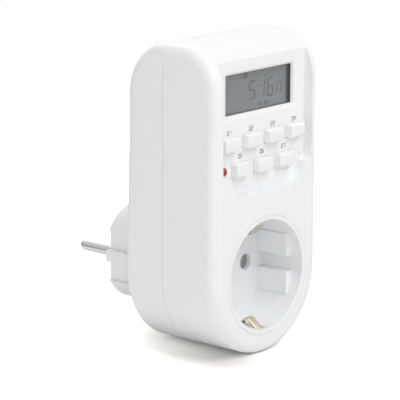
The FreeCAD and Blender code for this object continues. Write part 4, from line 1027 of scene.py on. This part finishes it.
# %% A plain floor
FLOOR_Z = cad_box[0][2]
PAPER_REACH = 4.0
floor_mesh = bpy.data.meshes.new("paper")
floor_mesh.from_pydata([
    (x * PAPER_REACH, y * PAPER_REACH, FLOOR_Z) for x, y in ((-1, -1), (1, -1), (1, 1), (-1, 1))
], [], [(0, 1, 2, 3)])
floor = bpy.data.objects.new("paper", floor_mesh)
bpy.context.scene.collection.objects.link(floor)
print(f"the paper lies at z = {FLOOR_Z / MM:.1f} mm")

# %% What is seen, not lit


def seen_directly(tree):
    """One for rays from the camera, from gloss or through glass, and nought for light."""
    ray = add_node(tree, "ShaderNodeLightPath").outputs
    first = worked_out(tree, "MAXIMUM", ray["Is Camera Ray"], ray["Is Glossy Ray"])
    return worked_out(tree, "MAXIMUM", first, ray["Is Transmission Ray"])


WHITE = rgba(1.0, 1.0, 1.0)
print(f"seen paper and surroundings are {WHITE}")

# %% The paper's tones and its painted shadow
# Painted shadow: round this middle the paper's colour is lower and warmer, which deepens and places
# the shadow that the lamps cast.
PAINTED_SHADOW_MIDDLE = (-0.016, -0.038, FLOOR_Z)
SHADOW_FULL, SHADOW_GONE = 0.006, 0.05
FAR_BEGINS, FAR_WHOLE = 0.1, 0.6
# The painted shadow's own tone, warm and plain.
PAINTED_SHADOW_TONE = rgba(0.98, 0.95, 0.9)
NEAR_TONE = rgba(2.35, 2.32, 2.26)
FAR_TONE = rgba(4.0, 4.0, 4.0)
BOUNCE_TONE = rgba(0.92, 0.915, 0.9)

paper = bpy.data.materials.new("white_paper")
paper.use_nodes = True
tree = paper.node_tree
tree.nodes.clear()
from_shadow = add_node(tree, "ShaderNodeVectorMath", {
    0: add_node(tree, "ShaderNodeTexCoord").outputs["Object"], 1: PAINTED_SHADOW_MIDDLE,
}, operation="DISTANCE").outputs["Value"]
past_shadow = ranged(tree, from_shadow, SHADOW_FULL, SHADOW_GONE)
far_away = ranged(tree, from_shadow, FAR_BEGINS, FAR_WHOLE)
# The painted shadow's tone near its middle, rising to the near tone at the edge of its zone.
tone_with_painted_shadow = blend_colours(tree, past_shadow, PAINTED_SHADOW_TONE, NEAR_TONE)
bright_tone = blend_colours(tree, far_away, tone_with_painted_shadow, FAR_TONE)
mirrored_tone = blend_colours(tree, seen_directly(tree), BOUNCE_TONE, WHITE)
camera_ray = add_node(tree, "ShaderNodeLightPath").outputs["Is Camera Ray"]
paper_tone = blend_colours(tree, camera_ray, mirrored_tone, bright_tone)
print(f"the shadow's zone reaches {SHADOW_GONE / MM:.0f} mm")

# %% The paper's shader
lit_paper = add_node(tree, "ShaderNodeBsdfDiffuse", {"Color": paper_tone})
plain_white = add_node(tree, "ShaderNodeEmission", {"Color": WHITE, "Strength": 1.0})
paper_mix = add_node(tree, "ShaderNodeMixShader", {
    0: worked_out(tree, "MULTIPLY", far_away, seen_directly(tree)),
    1: lit_paper.outputs["BSDF"], 2: plain_white.outputs["Emission"],
})
add_node(tree, "ShaderNodeOutputMaterial", {"Surface": paper_mix.outputs["Shader"]})
floor_mesh.materials.append(paper)
print(f"{paper.name}: {len(tree.nodes)} nodes")

# %% [markdown]
# ## The light
# White walls all round would take the shape out of a white object, so the room gives only a faint
# light, while the camera and every reflection see it as white. Five large soft lamps do the rest:
# high in front, left in front, overhead, low at the left and high behind. Lamps as large as
# windows give soft shadows and broad, quiet reflections.

# %% The surroundings
ROOM_LIGHT = 0.18
world = bpy.data.worlds.new("studio")
world.use_nodes = True
tree = world.node_tree
tree.nodes.clear()
dim = add_node(tree, "ShaderNodeBackground", {"Color": WHITE, "Strength": ROOM_LIGHT})
white = add_node(tree, "ShaderNodeBackground", {"Color": WHITE, "Strength": 1.0})
surroundings = add_node(tree, "ShaderNodeMixShader", {
    0: seen_directly(tree), 1: dim.outputs["Background"], 2: white.outputs["Background"],
})
add_node(tree, "ShaderNodeOutputWorld", {"Surface": surroundings.outputs["Shader"]})
bpy.context.scene.world = world
print(f"the room lights with a strength of {ROOM_LIGHT}")

# %% Lamps
MIDDLE = (0.0, -0.02, 0.03)
LAMP_SIZE = 0.7
LAMPS = {
    "high_front": ((0.1, -0.85, 0.95), 7.0),
    "left_front": ((-0.85, -0.8, 0.45), 3.6),
    "overhead": ((0.0, -0.1, 1.25), 4.0),
    "low_left": ((-1.0, 0.45, 0.1), 2.4),
    "high_back": ((0.35, 0.8, 0.95), 3.8),
}


def soft_lamp(name, place, power):
    """A square soft light at a place, turned so that its face looks at the object's middle."""
    lamp = bpy.data.lights.new(name, "AREA")
    lamp.size = LAMP_SIZE
    lamp.energy = power
    holder = bpy.data.objects.new(name, lamp)
    away = np.array(place, float) - np.array(MIDDLE, float)
    away /= np.linalg.norm(away)
    right = np.cross((0, 0, 1), away)
    right /= np.linalg.norm(right)
    turn = Matrix(np.column_stack([right, np.cross(away, right), away]).tolist()).to_4x4()
    holder.matrix_world = Matrix.Translation(place) @ turn
    bpy.context.scene.collection.objects.link(holder)
    print(f"{name}: {power} W")


for lamp_name, (lamp_place, lamp_power) in LAMPS.items():
    soft_lamp(lamp_name, lamp_place, lamp_power)

# %% [markdown]
# ## The camera
# The camera stands where the photograph was taken: far off, to the left, a little above, with a
# long lens. From there a 58 mm wide part fills the frame without looking bent. Its place and its
# two directions are plain numbers, because they were found once, from the corners of the real
# thing whose sizes are known.

# %% A long lens
EYE = (-0.68716, -0.60058, 0.23168)
RIGHT = np.array([0.65216, -0.75808, 0.00282])
VIEW = np.array([0.73908, 0.63497, -0.22488])
FOCAL_PIXELS = 2560.0
PHOTO_PIXELS = 400.0
SENSOR = 36.0
NEAREST = 0.05
camera = bpy.data.cameras.new("camera")
camera.sensor_width = SENSOR
camera.lens = FOCAL_PIXELS / PHOTO_PIXELS * SENSOR
camera.clip_start = NEAREST
camera_object = bpy.data.objects.new("camera", camera)
upward = np.cross(RIGHT, VIEW)
aim = Matrix(np.column_stack([RIGHT, upward, -VIEW]).tolist()).to_4x4()
camera_object.matrix_world = Matrix.Translation(EYE) @ aim
bpy.context.scene.collection.objects.link(camera_object)
bpy.context.scene.camera = camera_object
bpy.context.scene.view_settings.view_transform = "Standard"
print(f"lens {camera.lens:.1f} mm")
